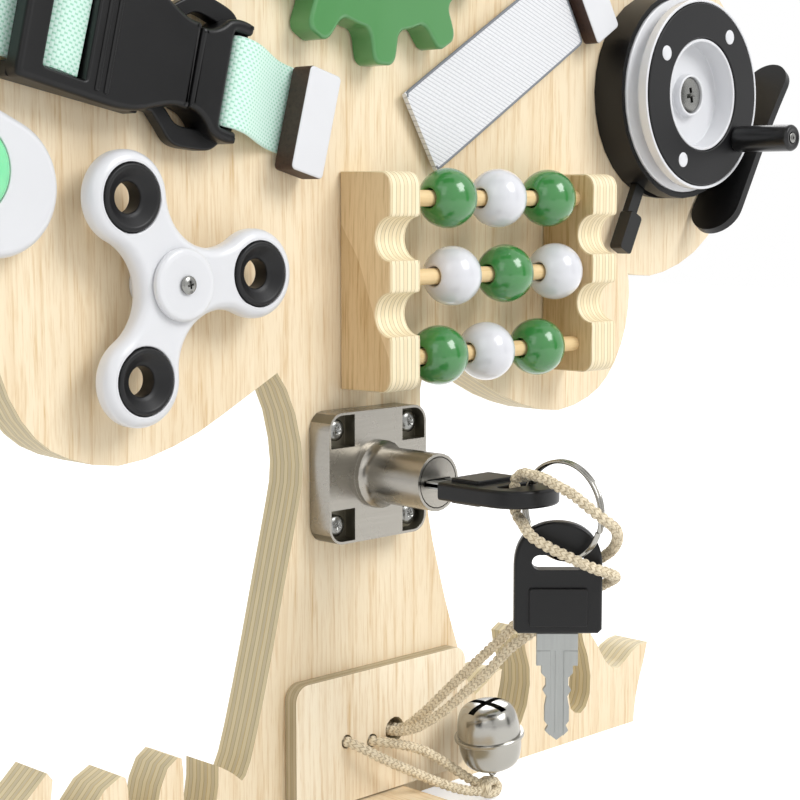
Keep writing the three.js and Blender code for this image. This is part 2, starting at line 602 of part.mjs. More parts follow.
function buildBuckleMale(buckleFrame) {
  const {
    maleEnd, prongEnd, guideHalfWidth, mouth, plateHalfWidth, slotStart, slotEnd, slotHalfWidth, armFront,
    armBack, barRecess, mouthHalfWidth,
  } = buckle;
  const clearMouth = mouth - fit.sliding;
  const half = [
    [-clearMouth, mouthHalfWidth - fit.sliding], [-0.865 * mouth, 0.95 * plateHalfWidth],
    [-slotEnd, plateHalfWidth], [-maleEnd - 1.5 * fit.sliding, plateHalfWidth],
    [-maleEnd, plateHalfWidth - 3 * fit.sliding],
  ];
  const outline = [...half, ...half.slice().reverse().map(([x, z]) => [x, -z])];
  const head = plate(polygon(outline), buckleFront + fit.gap, buckleBack - fit.gap);
  const arms = [1, -1].map((side) => plate(polygon(armOutline(side)), -armFront, -armBack));
  const guide = box(
    -prongEnd + fit.overrun, fit.overrun - clearMouth, -armFront, -armBack, -guideHalfWidth, guideHalfWidth,
  );
  const barBack = buckleFront + barRecess + fit.overrun;
  add('buckle_male', cut(
    join(head, ...arms, guide),
    box(-slotEnd, -slotStart, buckleFront - fit.overrun, fit.overrun, -slotHalfWidth, slotHalfWidth),
    box(-slotEnd, fit.overrun, barBack, fit.overrun, -slotHalfWidth, slotHalfWidth),
    box(-slotEnd, fit.overrun, buckleFront - fit.overrun, buckleFront + barRecess, -slotHalfWidth, slotHalfWidth),
  ), 'black', buckleFrame);
}

function webbingBlock(x) {
  const shape = roundedRectangle(
    x - block.width / 2, x + block.width / 2, -block.length / 2, block.length / 2, block.cornerRadius,
  );
  const back = -webbing.thickness - 2 * fit.gap;
  return plate(shape, back - block.height, back, 3);
}

function buildWebbing() {
  const strapFrame = frameAt(buckle.x, buckle.z, -buckle.angle);
  const hinge = new THREE.Group();
  hinge.position.x = -buckle.pivot;
  hinge.rotation.y = -radians(buckle.tilt);
  const buckleFrame = new THREE.Group();
  buckleFrame.position.x = buckle.pivot;
  strapFrame.add(hinge);
  hinge.add(buckleFrame);
  buildBuckleFemale(buckleFrame);
  buildBuckleMale(buckleFrame);
  const low = -fit.gap - webbing.thickness / 2;
  const under = -webbing.underBar;
  const high = -webbing.inWindow;
  const barStart = -buckle.barEnd + buckle.barWidth;
  const left = [
    [-webbing.leftBlock - webbing.tail, low], [-webbing.leftBlock + webbing.tail + fit.overrun, low],
    [-buckle.barEnd - webbing.lift, under], [barStart - fit.overrun / 2, under],
    [barStart + webbing.tail, high], [barStart + buckle.windowWidth - 2 * fit.gap, high],
  ];
  add('left_webbing', band(left, webbing.thickness, webbing.width), 'mint', strapFrame);
  const overBar = buckleFront + buckle.barRecess - fit.gap - webbing.thickness / 2;
  const inSlot = -(buckle.slotStart + buckle.slotEnd) / 2;
  const right = [
    [webbing.tail, low], [-webbing.tail - fit.overrun, low], [-buckle.maleEnd + webbing.overlap, overBar],
    [-buckle.slotStart, overBar], [inSlot, overBar + webbing.dip], [inSlot, overBar + webbing.tail + fit.overrun],
  ];
  add('right_webbing', band(right, webbing.thickness, webbing.width), 'mint', buckleFrame);
  add('left_webbing_block', webbingBlock(-webbing.leftBlock), 'walnut', strapFrame);
  add('right_webbing_block', webbingBlock(0), 'walnut', strapFrame);
}

// Hook-and-loop strap, in a frame whose -X runs down the strap to its free end
function buildStrap() {
  const strapFrame = frameAt(strap.x, strap.z, strap.angle);
  const half = strap.blockWidth / 2;
  const loopBack = -strap.hookThickness - 2 * fit.gap;
  const loopFront = loopBack - strap.loopThickness;
  const loopEnd = -half - strap.loopThickness - fit.sliding;
  const corner = strap.loopThickness;
  const hook = roundedRectangle(-strap.hookReach, half - fit.gap, -strap.hookWidth / 2, strap.hookWidth / 2, corner);
  add('hook_strip', plate(hook, -fit.gap - strap.hookThickness, -fit.gap, 3), 'strapWhite', strapFrame);
  const loop = roundedRectangle(-strap.reach, loopEnd, -strap.width / 2, strap.width / 2, corner);
  add('loop_strap', plate(loop, loopFront, loopBack, 3), 'strapWhite', strapFrame);
  const top = roundedRectangle(-half, half, -strap.blockLength / 2, strap.blockLength / 2, block.cornerRadius);
  add('strap_block', plate(top, loopBack - strap.blockHeight, loopBack, 3), 'walnut', strapFrame);
}

// Reel pieces, in a frame at its axis
function around(radius, angle) {
  return [radius * Math.cos(radians(angle)), radius * Math.sin(radians(angle))];
}

function leverBar(x0, x1, width, front, back) {
  return plate(roundedRectangle(x0, x1, -width / 2, width / 2, width / 5), front, back, 3);
}

function buildReel() {
  const axis = frameAt(reel.x, reel.z);
  const {
    housingRadius, housingDepth, wall, floor, postRadius, boreRadius, face, recessFloor, bossRadius,
    bossHeight, headRadius, headHeight, crankPinRadius, knobRadius, pinCircle, pinRadius,
  } = reel;
  const back = -fit.gap;
  const bossFront = -recessFloor - bossHeight;
  const postFront = bossFront + headHeight + 2 * fit.gap;
  const inner = housingRadius - wall;
  const floorFront = back - floor;
  const leverTurn = radians(-lever.angle);
  const leverFront = floorFront - lever.fromBoard - lever.armThickness;
  const slotTool = box(
    lever.pivot, housingRadius + fit.overrun, leverFront - fit.sliding, floorFront,
    -lever.armWidth / 2 - fit.sliding, lever.bossRadius + 2 * lever.armWidth,
  ).rotateY(leverTurn);
  const pinPlace = around(lever.pivot, lever.angle);
  const housing = cut(
    turned([
      [0, back], [housingRadius, back], [housingRadius, -housingDepth], [inner, -housingDepth],
      [inner, floorFront], [postRadius, floorFront], [postRadius, postFront], [0, postFront],
    ], 32),
    disc(boreRadius, postFront - fit.overrun, fit.overrun, 16),
    slotTool,
  );
  const leverPin = placed(disc(lever.pinRadius, leverFront - fit.gap, floorFront + fit.gap, 12), ...pinPlace);
  add('reel_housing', join(housing, leverPin, ...reelFootForms(floorFront)), 'softBlack', axis);
  buildLever(axis, leverFront);
  const spoolBack = leverFront - 2 * fit.sliding;
  const ringBed = -face + reel.ringThickness + fit.gap;
  const spool = turned([
    [postRadius + fit.running, spoolBack], [reel.hubRadius, spoolBack],
    [reel.hubRadius, spoolBack - reel.hubHeight], [reel.rearRadius, spoolBack - reel.hubHeight],
    [reel.rearRadius, -reel.rearDepth], [reel.grooveRadius, -reel.grooveStart],
    [reel.grooveRadius, -reel.grooveEnd], [reel.frontRadius, -reel.frontStart], [reel.frontRadius, -face],
    [reel.ringOuter + fit.gap, -face], [reel.ringOuter + fit.gap, ringBed],
    [reel.ringInner - fit.gap, ringBed], [reel.ringInner - fit.gap, -face],
    [reel.ringInner - fit.gap - reel.lip, -face], [reel.ringInner - fit.gap - reel.lip, -recessFloor],
    [bossRadius, -recessFloor], [bossRadius, bossFront], [headRadius + fit.running, bossFront],
    [headRadius + fit.running, postFront], [postRadius + fit.running, postFront],
  ], 28);
  const knobPlace = around(pinCircle, reel.knobAngle);
  const crankHole = placed(disc(crankPinRadius + fit.gap, -face - fit.overrun, ringBed + reel.crankSeat, 16), ...knobPlace);
  const ringFront = -face - reel.ringProud;
  const ringBack = ringBed - fit.gap;
  const pinPlaces = reel.pinAngles.map((angle) => around(pinCircle, angle));
  add('reel_face_ring', cut(
    tubeOf(reel.ringOuter, reel.ringInner, ringFront, ringBack, 32),
    ...pinPlaces.map(([x, z]) => placed(disc(pinRadius + fit.gap, -face - fit.overrun, fit.overrun, 16), x, z)),
    placed(disc(crankPinRadius + fit.gap, -face - fit.overrun, fit.overrun, 16), ...knobPlace),
  ), 'black', axis);
  const pegs = pinPlaces.map(([x, z]) => placed(disc(pinRadius, ringFront - reel.pinProud, ringBed + wall, 16), x, z));
  add('reel_spool', join(cut(spool, crankHole), ...pegs), 'white', axis);
  const knobBack = ringFront - fit.running;
  const knobFront = knobBack - reel.knobLength;
  add('crank_knob', placed(turned([
    [crankPinRadius + fit.running, knobFront], [knobRadius - fit.overrun / 4, knobFront],
    [knobRadius, knobFront + fit.overrun / 4], [knobRadius, knobBack], [crankPinRadius + fit.running, knobBack],
  ], 20), ...knobPlace), 'black', axis);
  add('crank_pin', placed(disc(
    crankPinRadius, knobFront - fit.gap, ringBed + reel.crankSeat - fit.gap, 12,
  ), ...knobPlace), 'steel', axis);
  add('reel_screw', screw(
    headRadius, headHeight, boreRadius - fit.gap, postFront - fit.gap - headHeight, reel.seatScrewDepth, 0.5,
  ), 'steel', axis);
}

function buildLever(axis, leverFront) {
  const back = leverFront + lever.armThickness;
  const tabFront = back - lever.tabThickness;
  const body = cut(
    join(
      leverBar(lever.pivot, lever.armEnd, lever.armWidth, leverFront, back),
      placed(disc(lever.bossRadius, leverFront, back, 20), lever.pivot, 0),
      leverBar(lever.tabStart, lever.tabEnd, lever.tabWidth, tabFront, back),
    ),
    placed(disc(lever.pinRadius + fit.running, leverFront - fit.overrun, back + fit.overrun, 12), lever.pivot, 0),
  );
  body.rotateY(radians(-lever.angle));
  add('reel_lever', body, 'black', axis);
}

// Curved foot, whose broad face looks at the reel's axis, and the stem that holds it
function reelFootForms(floorFront) {
  const { angle, distance, offset, length, lowWidth, highWidth, thickness, stemWidth, stemDepth } = reelFoot;
  const low = lowWidth / 2;
  const high = highWidth / 2;
  const start = offset - length / 2 + low;
  const end = offset + length / 2 - high;
  const waist = reelFoot.waistShare * low;
  const shape = new THREE.Shape();
  shape.absarc(0, start, low, Math.PI, 2 * Math.PI);
  shape.bezierCurveTo(low, start + low, waist, offset, high, end);
  shape.absarc(0, end, high, 0, Math.PI);
  shape.bezierCurveTo(-waist, offset, -low, start + low, -low, start);
  const blade = new THREE.ExtrudeGeometry(shape, { depth: thickness, bevelEnabled: false, curveSegments: 10 });
  blade.rotateX(Math.PI / 2).rotateZ(Math.PI / 2).rotateX(Math.PI / 2).rotateX(-Math.PI / 2);
  blade.translate(distance - thickness / 2, -reelFoot.fromBoard, 0);
  const stem = box(
    reel.housingRadius - reel.wall / 2, distance, -reelFoot.stemFromBoard - stemDepth / 2,
    -reelFoot.stemFromBoard + stemDepth / 2, -stemWidth / 2, stemWidth / 2,
  );
  return [blade, stem].map((form) => form.rotateY(radians(-angle)));
}

// Lock pieces
function buildLock() {
  const centre = frameAt(lock.x, lock.z);
  const { width, height, depth, cornerRadius, rim, pocketWidth, pocketHeight, pocketDepth } = lock;
  const { barrelRadius, barrelEnd, plugRadius, flareRadius, flareDepth, flareFillet } = lock;
  const body = plate(roundedRectangle(-width / 2, width / 2, -height / 2, height / 2, cornerRadius), -depth, -fit.gap, 5);
  const barrel = turned([
    [0, -barrelEnd], [barrelRadius, -barrelEnd], [barrelRadius, -depth - flareDepth - flareFillet],
    [barrelRadius + 0.3 * flareFillet, -depth - flareDepth - 0.3 * flareFillet],
    [flareRadius, -depth - flareDepth], [flareRadius, -depth + flareDepth], [0, -depth + flareDepth],
  ], 24);
  const x1 = width / 2 - rim;
  const z1 = height / 2 - rim;
  const pocket = new THREE.Shape();
  pocket.moveTo(x1 - pocketWidth, z1 - pocketHeight);
  pocket.lineTo(x1, z1 - pocketHeight);
  pocket.lineTo(x1, z1 - cornerRadius + rim);
  pocket.absarc(x1 - cornerRadius + rim, z1 - cornerRadius + rim, cornerRadius - rim, 0, Math.PI / 2);
  pocket.lineTo(x1 - pocketWidth, z1);
  pocket.closePath();
  const pockets = [-1, 1].flatMap((sx) => [-1, 1].map((sz) => (
    plate(pocket, -depth - fit.overrun, -depth + pocketDepth, 4).scale(sx, 1, sz))));
  const holes = lockScrews.map(([x, z]) => placed(disc(pilotRadius, -depth, fit.overrun, 12), x - lock.x, z - lock.z));
  const channelFront = -lock.boltBack - lock.boltThickness - fit.sliding;
  const channelHalf = lock.boltWidth / 2 + fit.sliding;
  const channel = box(
    -channelHalf, channelHalf, channelFront, -lock.boltBack + fit.sliding,
    -height / 2 - fit.overrun, lock.boltTop + fit.sliding,
  );
  const plugBore = disc(plugRadius + fit.running, -barrelEnd - fit.overrun, -lock.plugBack + fit.running, 24);
  const camWell = disc(lock.camArm + lock.camRadius + fit.sliding, -lock.plugBack, channelFront + fit.sliding, 20);
  add('lock_body', cut(join(body, barrel), ...pockets, ...holes, channel, plugBore, camWell), 'nickel', centre);
  buildPlug(centre, channelFront);
  buildBolt(centre);
}

function buildPlug(centre, channelFront) {
  const { plugRadius, barrelEnd, plugBack, plugDome, camRadius, camArm } = lock;
  const front = -barrelEnd;
  const plug = turned([
    [0, front - plugDome], [0.6 * plugRadius, front - 0.7 * plugDome], [plugRadius, front],
    [plugRadius, -plugBack], [0, -plugBack],
  ], 24);
  const cam = placed(disc(camRadius, -plugBack - fit.gap, -lock.boltBack - fit.sliding, 12), camArm, 0);
  const half = key.bladeWidth / 2 + fit.sliding;
  const thick = key.bladeThickness / 2 + fit.gap;
  const keyway = box(-half, half, front - fit.overrun, front + key.bladeLength + fit.sliding, -thick, thick);
  add('lock_plug', cut(join(plug, cam), keyway), 'nickel', centre);
}

function buildBolt(centre) {
  const { boltWidth, boltThickness, boltBack, boltTop, boltSlotHalf, camRadius } = lock;
  const half = boltWidth / 2;
  const bolt = box(-half, half, -boltBack - boltThickness, -boltBack, -lock.height / 2 + fit.gap, boltTop);
  const slot = box(
    -camRadius - fit.sliding, half + fit.overrun, -boltBack - boltThickness - fit.overrun, fit.overrun,
    -boltSlotHalf, boltSlotHalf,
  );
  add('lock_bolt', cut(bolt, slot), 'steel', centre);
}

// A key lies in X and Z with its blade along +Z, its bow's blade end at Z = 0 and its middle plane at Y = 0
function keyBow() {
  const { bowLength, bowWidth, bowThickness, archShare, slotFromEnd, slotWidth, slotHeight } = key;
  const half = bowWidth / 2;
  const straight = -bowLength * (1 - archShare);
  const shape = new THREE.Shape();
  shape.moveTo(-half, 0);
  shape.lineTo(-half, straight);
  shape.bezierCurveTo(-half, -bowLength * 0.88, -half * 0.55, -bowLength, 0, -bowLength);
  shape.bezierCurveTo(half * 0.55, -bowLength, half, -bowLength * 0.88, half, straight);
  shape.lineTo(half, 0);
  shape.closePath();
  const slotZ = -bowLength + slotFromEnd;
  const slot = plate(roundedRectangle(
    -slotWidth / 2, slotWidth / 2, slotZ - slotHeight / 2, slotZ + slotHeight / 2, slotHeight / 2 - fit.gap,
  ), -bowThickness, bowThickness, 4);
  const { labelWidth, labelHeight, labelFromEnd, labelProud } = key;
  const label = box(
    -labelWidth / 2, labelWidth / 2, -bowThickness / 2 - labelProud, bowThickness / 2 + labelProud,
    -labelFromEnd - labelHeight, -labelFromEnd,
  );
  const tangHalf = key.tangWidth / 2 + fit.gap;
  const tangThick = key.bladeThickness / 2 + fit.gap;
  const tang = box(-tangHalf, tangHalf, -tangThick, tangThick, -key.tang - fit.gap, fit.overrun);
  return cut(join(plate(shape, -bowThickness / 2, bowThickness / 2, 7), label), slot, tang);
}

function keyBlade() {
  const { shoulderLength, shoulderWidth, bladeWidth, bladeLength, bladeThickness, tang, tangWidth } = key;
  const start = fit.gap;
  const half = bladeWidth / 2;
  const side = [
    [tangWidth / 2, -tang], [tangWidth / 2, start], [shoulderWidth / 2, start], [shoulderWidth / 2, shoulderLength],
    ...cutShares.map(([along, out]) => [half * out, shoulderLength + along * bladeLength]),
    [half * 0.5, shoulderLength + 0.92 * bladeLength],
  ];
  const outline = [...side, [0, shoulderLength + bladeLength], ...side.slice().reverse().map(([x, z]) => [-x, z])];
  const blade = plate(polygon(outline), -bladeThickness / 2, bladeThickness / 2);
  const grooves = [1, -1].map((face) => {
    const y = [face * bladeThickness, face * (bladeThickness / 2 - key.grooveDepth)].sort((a, b) => a - b);
    return box(
      -key.grooveWidth / 2, key.grooveWidth / 2, ...y, shoulderLength / 2, shoulderLength + 0.9 * bladeLength,
    );
  });
  return cut(blade, ...grooves);
}

const bowFront = -lock.barrelEnd - lock.plugDome - fit.gap - key.shoulderLength;
const lockSlotY = bowFront - key.bowLength + key.slotFromEnd;
const ringCentreY = lockSlotY - Math.sqrt(ring.radius ** 2 - ring.dropZ ** 2);
const ringCentreZ = lock.z - ring.dropZ;
const ringX = lock.x + ring.offsetX;

function buildKeys() {
  const lockKey = new THREE.Group();
  lockKey.position.set(lock.x, bowFront, lock.z);
  lockKey.rotation.x = -Math.PI / 2;
  object.add(lockKey);
  add('lock_key_bow', keyBow(), 'black', lockKey);
  add('lock_key_blade', keyBlade(), 'steel', lockKey);
  const loop = turned(ringSection(), 28);
  loop.rotateZ(Math.PI / 2).translate(ringX, ringCentreY, ringCentreZ);
  add('key_ring', loop, 'steel');
  const spare = new THREE.Group();
  const slotTop = key.bowLength - key.slotFromEnd + key.slotHeight / 2;
  const hangZ = ringCentreZ - ring.radius + ring.wire + ring.play;
  const facing = radians(spareKey.facing);
  spare.position.set(
    ringX + spareKey.shift * Math.cos(facing), ringCentreY - spareKey.shift * Math.sin(facing), hangZ - slotTop,
  );
  spare.rotation.set(Math.PI, 0, -facing, 'ZYX');
  object.add(spare);
  add('spare_key_bow', keyBow(), 'black', spare);
  add('spare_key_blade', keyBlade(), 'steel', spare);
}

function ringSection() {
  return [0, 1, 2, 3, 4, 5].map((i) => {
    const angle = (2 * Math.PI * (i + 0.5)) / 6;
    return [ring.radius + ring.wire * Math.cos(angle), ring.wire * Math.sin(angle)];
  });
}

// Push light, in a frame along its own length
function stadium(halfSpan, radius) {
  const shape = new THREE.Shape();
  shape.absarc(halfSpan, 0, radius, -Math.PI / 2, Math.PI / 2);
  shape.absarc(-halfSpan, 0, radius, Math.PI / 2, 1.5 * Math.PI);
  shape.closePath();
  return shape;
}

function buildLight() {
  const centre = frameAt(light.x, light.z, -light.angle);
  const { halfSpan, endRadius, height, edge, wall, lensRadius, lensDome, lensSkirt, ledgeRadius } = light;
  const back = -fit.gap;
  const front = back - height;
  const dome = new THREE.ExtrudeGeometry(stadium(halfSpan, endRadius - edge), {
    depth: height - edge, bevelEnabled: true, bevelThickness: edge, bevelSize: edge, bevelSegments: 2,
    curveSegments: 9,
  });
  dome.rotateX(Math.PI / 2).translate(0, back, 0);
  const reach = endRadius + halfSpan + fit.overrun;
  const shell = cut(
    dome,
    box(-reach, reach, back, back + 2 * edge, -reach, reach),
    plate(stadium(halfSpan, endRadius - wall - edge / 2), front + 1.6 * wall, fit.overrun, 9),
    disc(lensRadius + fit.running, front - fit.overrun, fit.overrun, 32),
  );
  add('light_shell', shell, 'white', centre);
  const lensBack = front + lensSkirt;
  add('light_lens', turned([
    [0, front - lensDome], [0.45 * lensRadius, front - 0.82 * lensDome], [0.8 * lensRadius, front - 0.42 * lensDome],
    [lensRadius, front + 0.1 * lensDome], [lensRadius, front + 1.6 * wall + fit.gap],
    [ledgeRadius, front + 1.6 * wall + fit.gap], [ledgeRadius, lensBack], [0, lensBack],
  ], 24), 'lens', centre);
  const base = plate(stadium(halfSpan, endRadius - wall - edge / 2 - fit.sliding), back - light.baseHeight, back, 8);
  const cell = placed(disc(light.cellRadius, back - light.baseHeight - light.cellHeight, back - light.baseHeight / 2, 20), light.cellOffset, 0);
  const lamp = placed(disc(
    light.lampRadius, back - light.baseHeight - light.lampHeight, back - light.baseHeight / 2, 12,
  ), -light.cellOffset / 2, 0);
  add('light_base', join(base, cell, lamp), 'circuit', centre);
}

// Bell, about its own upright axis, tilted to lean on its cord
function bellShell() {
  const { radius, halfHeight, flatShare, wall, flangeRadius, flangeHalf } = bell;
  const flat = flatShare * radius;
  const arc = (side, r, h) => [1, 2, 3].map((i) => {
    const angle = (Math.PI / 6) * i;
    return [flat * (i < 3 ? 1 : 0) + (r - flat) * Math.cos(angle), side * h * Math.sin(angle)];
  });
  const inner = radius - wall;
  return turned([
    [flangeRadius, -flangeHalf], [flangeRadius, flangeHalf], [radius, flangeHalf],
    ...arc(1, radius, halfHeight), ...arc(1, inner, halfHeight - wall).reverse(), [inner, 0],
    ...arc(-1, inner, halfHeight - wall), ...arc(-1, radius, halfHeight).reverse(), [radius, -flangeHalf],
  ], 20);
}

function buildBell() {
  const holder = new THREE.Group();
  holder.position.set(bell.x, bell.y, bell.lift);
  holder.rotation.set(-Math.PI / 2, radians(-bell.tilt), 0, 'ZYX');
  object.add(holder);
  const top = -bell.halfHeight;
  const slots = [0, 1].map((i) => {
    const half = bell.slotWidth / 2;
    const reach = bell.slotLength / 2;
    return i ? box(-half, half, top - fit.overrun, 0, -reach, reach) : box(-reach, reach, top - fit.overrun, 0, -half, half);
  });
  const eye = new THREE.TorusGeometry(bell.loopRadius, bell.loopWire, 6, 16);
  eye.translate(0, bell.halfHeight + bell.loopRadius - bell.loopWire, 0);
  add('bell_shell', join(cut(bellShell(), ...slots), eye), 'chrome', holder);
  const ball = new THREE.SphereGeometry(bell.ballRadius, 12, 8);
  ball.translate(0, bell.halfHeight - bell.wall - bell.ballRadius - 2 * fit.gap, 0);
  add('bell_ball', ball, 'steel', holder);
}

// Cord routes: places chosen by hand, in millimetres
const frontY = -panel.thickness - fit.gap;
const rearY = board.thickness + fit.gap;
const strand = cord.radius + cord.strandGap / 2;
const keyRoute = [
  [9.9, 18, 25.5], [9.9, 5, 25.5], [9.9, -6, 25.7], [10.2, -14, 31], [10.6, -27, 43], [10.8, -38, 53],
  [10.9, -49, 63], [10.4, -58, 71.6], [11.1, -65.6, 79.5], [14.3, -72.3, 85], [15.6, -79.6, 89.2],
  [14.2, -85.9, 93], [10.9, -90.5, 96.6], [6.3, -94.3, 100], [1.4, -96.8, 103], [-2.7, -95.8, 106],
  [-4.5, -92, 109], [-4.9, -87, 111.8], [-5, -81.5, 113.6], [-4.8, -77, 115], [-4.2, -71.6, 115.4],
  [-3.2, -67.6, 115.2], [-2.8, -64.7, 113.2], [-2.8, -64.3, 110.4], [-2.9, -64.4, 107.2],
  [-3, -64.9, 104], [-3.8, -67, 102.2], [-5.6, -69.8, 101.7], [-8.3, -73, 101], [-9.8, -77.2, 99],
  [-7.5, -81.8, 96.2], [-4, -86.8, 93.4], [0.8, -90.5, 90.6], [6.4, -91.9, 88.4], [11.5, -89.7, 86.4],
  [14.8, -85.3, 84.2], [15.8, -79, 81.4], [14.5, -72.2, 77.6], [11.3, -64.1, 71], [7.1, -53.6, 63],
  [7, -45, 54.4], [7, -35, 45.2], [6.8, -25, 36], [6.4, -14, 28.4], [6.1, -6, 25.7], [6.1, 5, 25.5],
  [6.1, 18, 25.5],
];
const bellLeftRoute = [
  [-13, 18, 26], [-13, 5, 26], [-13, -6, 26], [-11.4, -9.6, 24.8], [-4, -12.4, 20], [6, -14.6, 14.4],
  [16, -17, 9], [25, -19.4, 5], [32, -20.7, 3.2],
];
const bellRightRoute = [
  [-2, 18, 24], [-2, 5, 24], [-2, -6, 24], [0.4, -8.6, 23.6], [7, -9.6, 21.6], [14.5, -11, 18.6],
  [22, -13.4, 13.6], [28, -16.4, 8.6], [33.2, -19.3, 4.6],
];

function buildCords() {
  const knot = new THREE.IcosahedronGeometry(1, 1);
  knot.scale(bell.knotRadius, bell.knotRadius, bell.knotHalf);
  knot.translate(bell.x, bell.y, bell.knotHalf + fit.gap);
  const knots = cordHoles.map(([x, z], i) => {
    const radius = i === 2 ? rearKnot.doubleRadius : rearKnot.radius;
    const shape = new THREE.IcosahedronGeometry(1, 1);
    shape.scale(radius, rearKnot.height / 2, radius);
    return placed(shape, x, z, rearY + rearKnot.height / 2);
  });
  const [left, right, rear] = knots;
  add('bell_cord', join(knot, left, right, ...[bellLeftRoute, bellRightRoute].map((route) => (
    tube(route, cord.radius, cord.sides, 12)))), 'rope');
  add('key_cord', join(rear, tube(keyRoute, cord.radius, cord.sides, 68)), 'rope');
}

add('tree_board', buildBoard(), 'birch');
buildStand();
buildPanel();
buildAbacus();
buildSpinner();
buildGears();
buildWebbing();
buildStrap();
buildReel();
buildLock();
buildKeys();
buildLight();
buildBell();
buildCords();

export default object;
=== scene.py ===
# Tree-shaped wooden activity board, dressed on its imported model
# Lengths are in mm unless a comment says metres
import json
import math
import random

import bmesh
import bpy
from mathutils import Matrix, Vector


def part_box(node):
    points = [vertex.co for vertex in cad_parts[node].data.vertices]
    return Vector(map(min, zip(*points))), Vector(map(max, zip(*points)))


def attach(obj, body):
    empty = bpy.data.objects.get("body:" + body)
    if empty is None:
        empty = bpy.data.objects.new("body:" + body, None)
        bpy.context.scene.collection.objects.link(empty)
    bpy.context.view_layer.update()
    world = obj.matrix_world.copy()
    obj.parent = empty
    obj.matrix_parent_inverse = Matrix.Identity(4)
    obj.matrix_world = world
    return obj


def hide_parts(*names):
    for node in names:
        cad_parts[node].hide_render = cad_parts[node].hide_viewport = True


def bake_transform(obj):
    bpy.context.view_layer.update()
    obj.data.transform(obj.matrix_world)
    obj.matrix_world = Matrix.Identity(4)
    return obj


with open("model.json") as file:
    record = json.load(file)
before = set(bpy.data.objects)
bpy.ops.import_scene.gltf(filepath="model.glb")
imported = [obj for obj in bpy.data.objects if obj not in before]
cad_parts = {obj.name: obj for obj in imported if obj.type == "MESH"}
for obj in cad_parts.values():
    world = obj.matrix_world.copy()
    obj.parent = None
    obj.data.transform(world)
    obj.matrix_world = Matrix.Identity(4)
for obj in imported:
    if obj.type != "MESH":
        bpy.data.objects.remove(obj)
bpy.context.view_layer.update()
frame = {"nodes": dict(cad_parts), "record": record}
record = frame["record"]
bodyOf = {node: body for body, names in record["behaviour"]["bodies"].items() for node in names}
slotOf = {entry["node"]: entry["material_slot"] for entry in record["subparts"]}
mm = 0.001
print("frame loaded:", len(frame["nodes"]), "nodes")

# Camera at the photograph's place, in metres and degrees
view = {"eye": (-0.39493, -0.4050, 0.19281), "heading": 45.4, "tilt": 6.254, "lens": 82.62, "clip": 0.01}


def added(name, data):
    # New object in the scene
    thing = bpy.data.objects.new(name, data)
    bpy.context.scene.collection.objects.link(thing)
    return thing


def makeCamera():
    camera = added("photoCamera", bpy.data.cameras.new("photoCamera"))
    camera.data.lens, camera.data.clip_start = view["lens"], view["clip"]
    camera.location = view["eye"]
    camera.rotation_euler = (math.radians(90 - view["tilt"]), 0, math.radians(-view["heading"]))
    bpy.context.scene.camera = camera


makeCamera()
bpy.context.scene.view_settings.view_transform = "Standard"


# Outlines
def spread(start, end, count):
    # Even values from start to end
    return [start + (end - start) * k / count for k in range(count + 1)]


def arc(x, z, radius, start, end, count):
    return [(x + radius * math.cos(t), z + radius * math.sin(t)) for t in spread(start, end, count)]


def circle(x, z, radius, count):
    return arc(x, z, radius, 0, 2 * math.pi, count)[:-1]


def stadium(x, z, span, radius, count):
    # Two half circles with straight sides between
    ends = [(x + span, -math.pi / 2), (x - span, math.pi / 2)]
    return [spot for middle, start in ends for spot in arc(middle, z, radius, start, start + math.pi, count)]


def rect(x0, z0, x1, z1):
    return [(x0, z0), (x1, z0), (x1, z1), (x0, z1)]


def mirrored(upper):
    # Closed outline from its upper half
    return [(x, -z) for x, z in upper] + upper[::-1]


def anticlockwise(points):
    area = sum(a[0] * b[1] - b[0] * a[1] for a, b in zip(points, points[1:] + points[:1]))
    return points if area > 0 else points[::-1]


def softCorners(points, radius, steps, share, keeps):
    # Closed outline with its corners rounded, but for those that are kept
    out = []
    for i, point in enumerate(points):
        here = Vector(point)
        before, after = Vector(points[i - 1]) - here, Vector(points[(i + 1) % len(points)]) - here
        if keeps(here, before, after):
            out.append(tuple(here))
            continue
        reach = min(radius, before.length * share, after.length * share)
        start, end = here + before.normalized() * reach, here + after.normalized() * reach
        out += [tuple((1 - t) ** 2 * start + 2 * t * (1 - t) * here + t * t * end)
                for t in spread(0, 1, steps)]
    return out


def roundedProfile(points, radius):
    # For turned pieces, whose corners on the axis stay
    return softCorners(points, radius, 4, 0.45,
                       lambda here, before, after: here.x <= 0 or min(before.length, after.length) < 1e-6)


def roundedCorners(points, radius):
    # For plates, whose nearly straight corners stay
    return softCorners(points, radius, 5, 1 / 2.05,
                       lambda here, before, after: before.angle(after) > math.radians(165))


def bezier(p0, p1, p2, p3, steps):
    return [tuple((1 - t) ** 3 * a + 3 * (1 - t) ** 2 * t * b + 3 * (1 - t) * t * t * c + t ** 3 * d
                  for a, b, c, d in zip(p0, p1, p2, p3)) for t in spread(0, 1, steps)[:-1]]


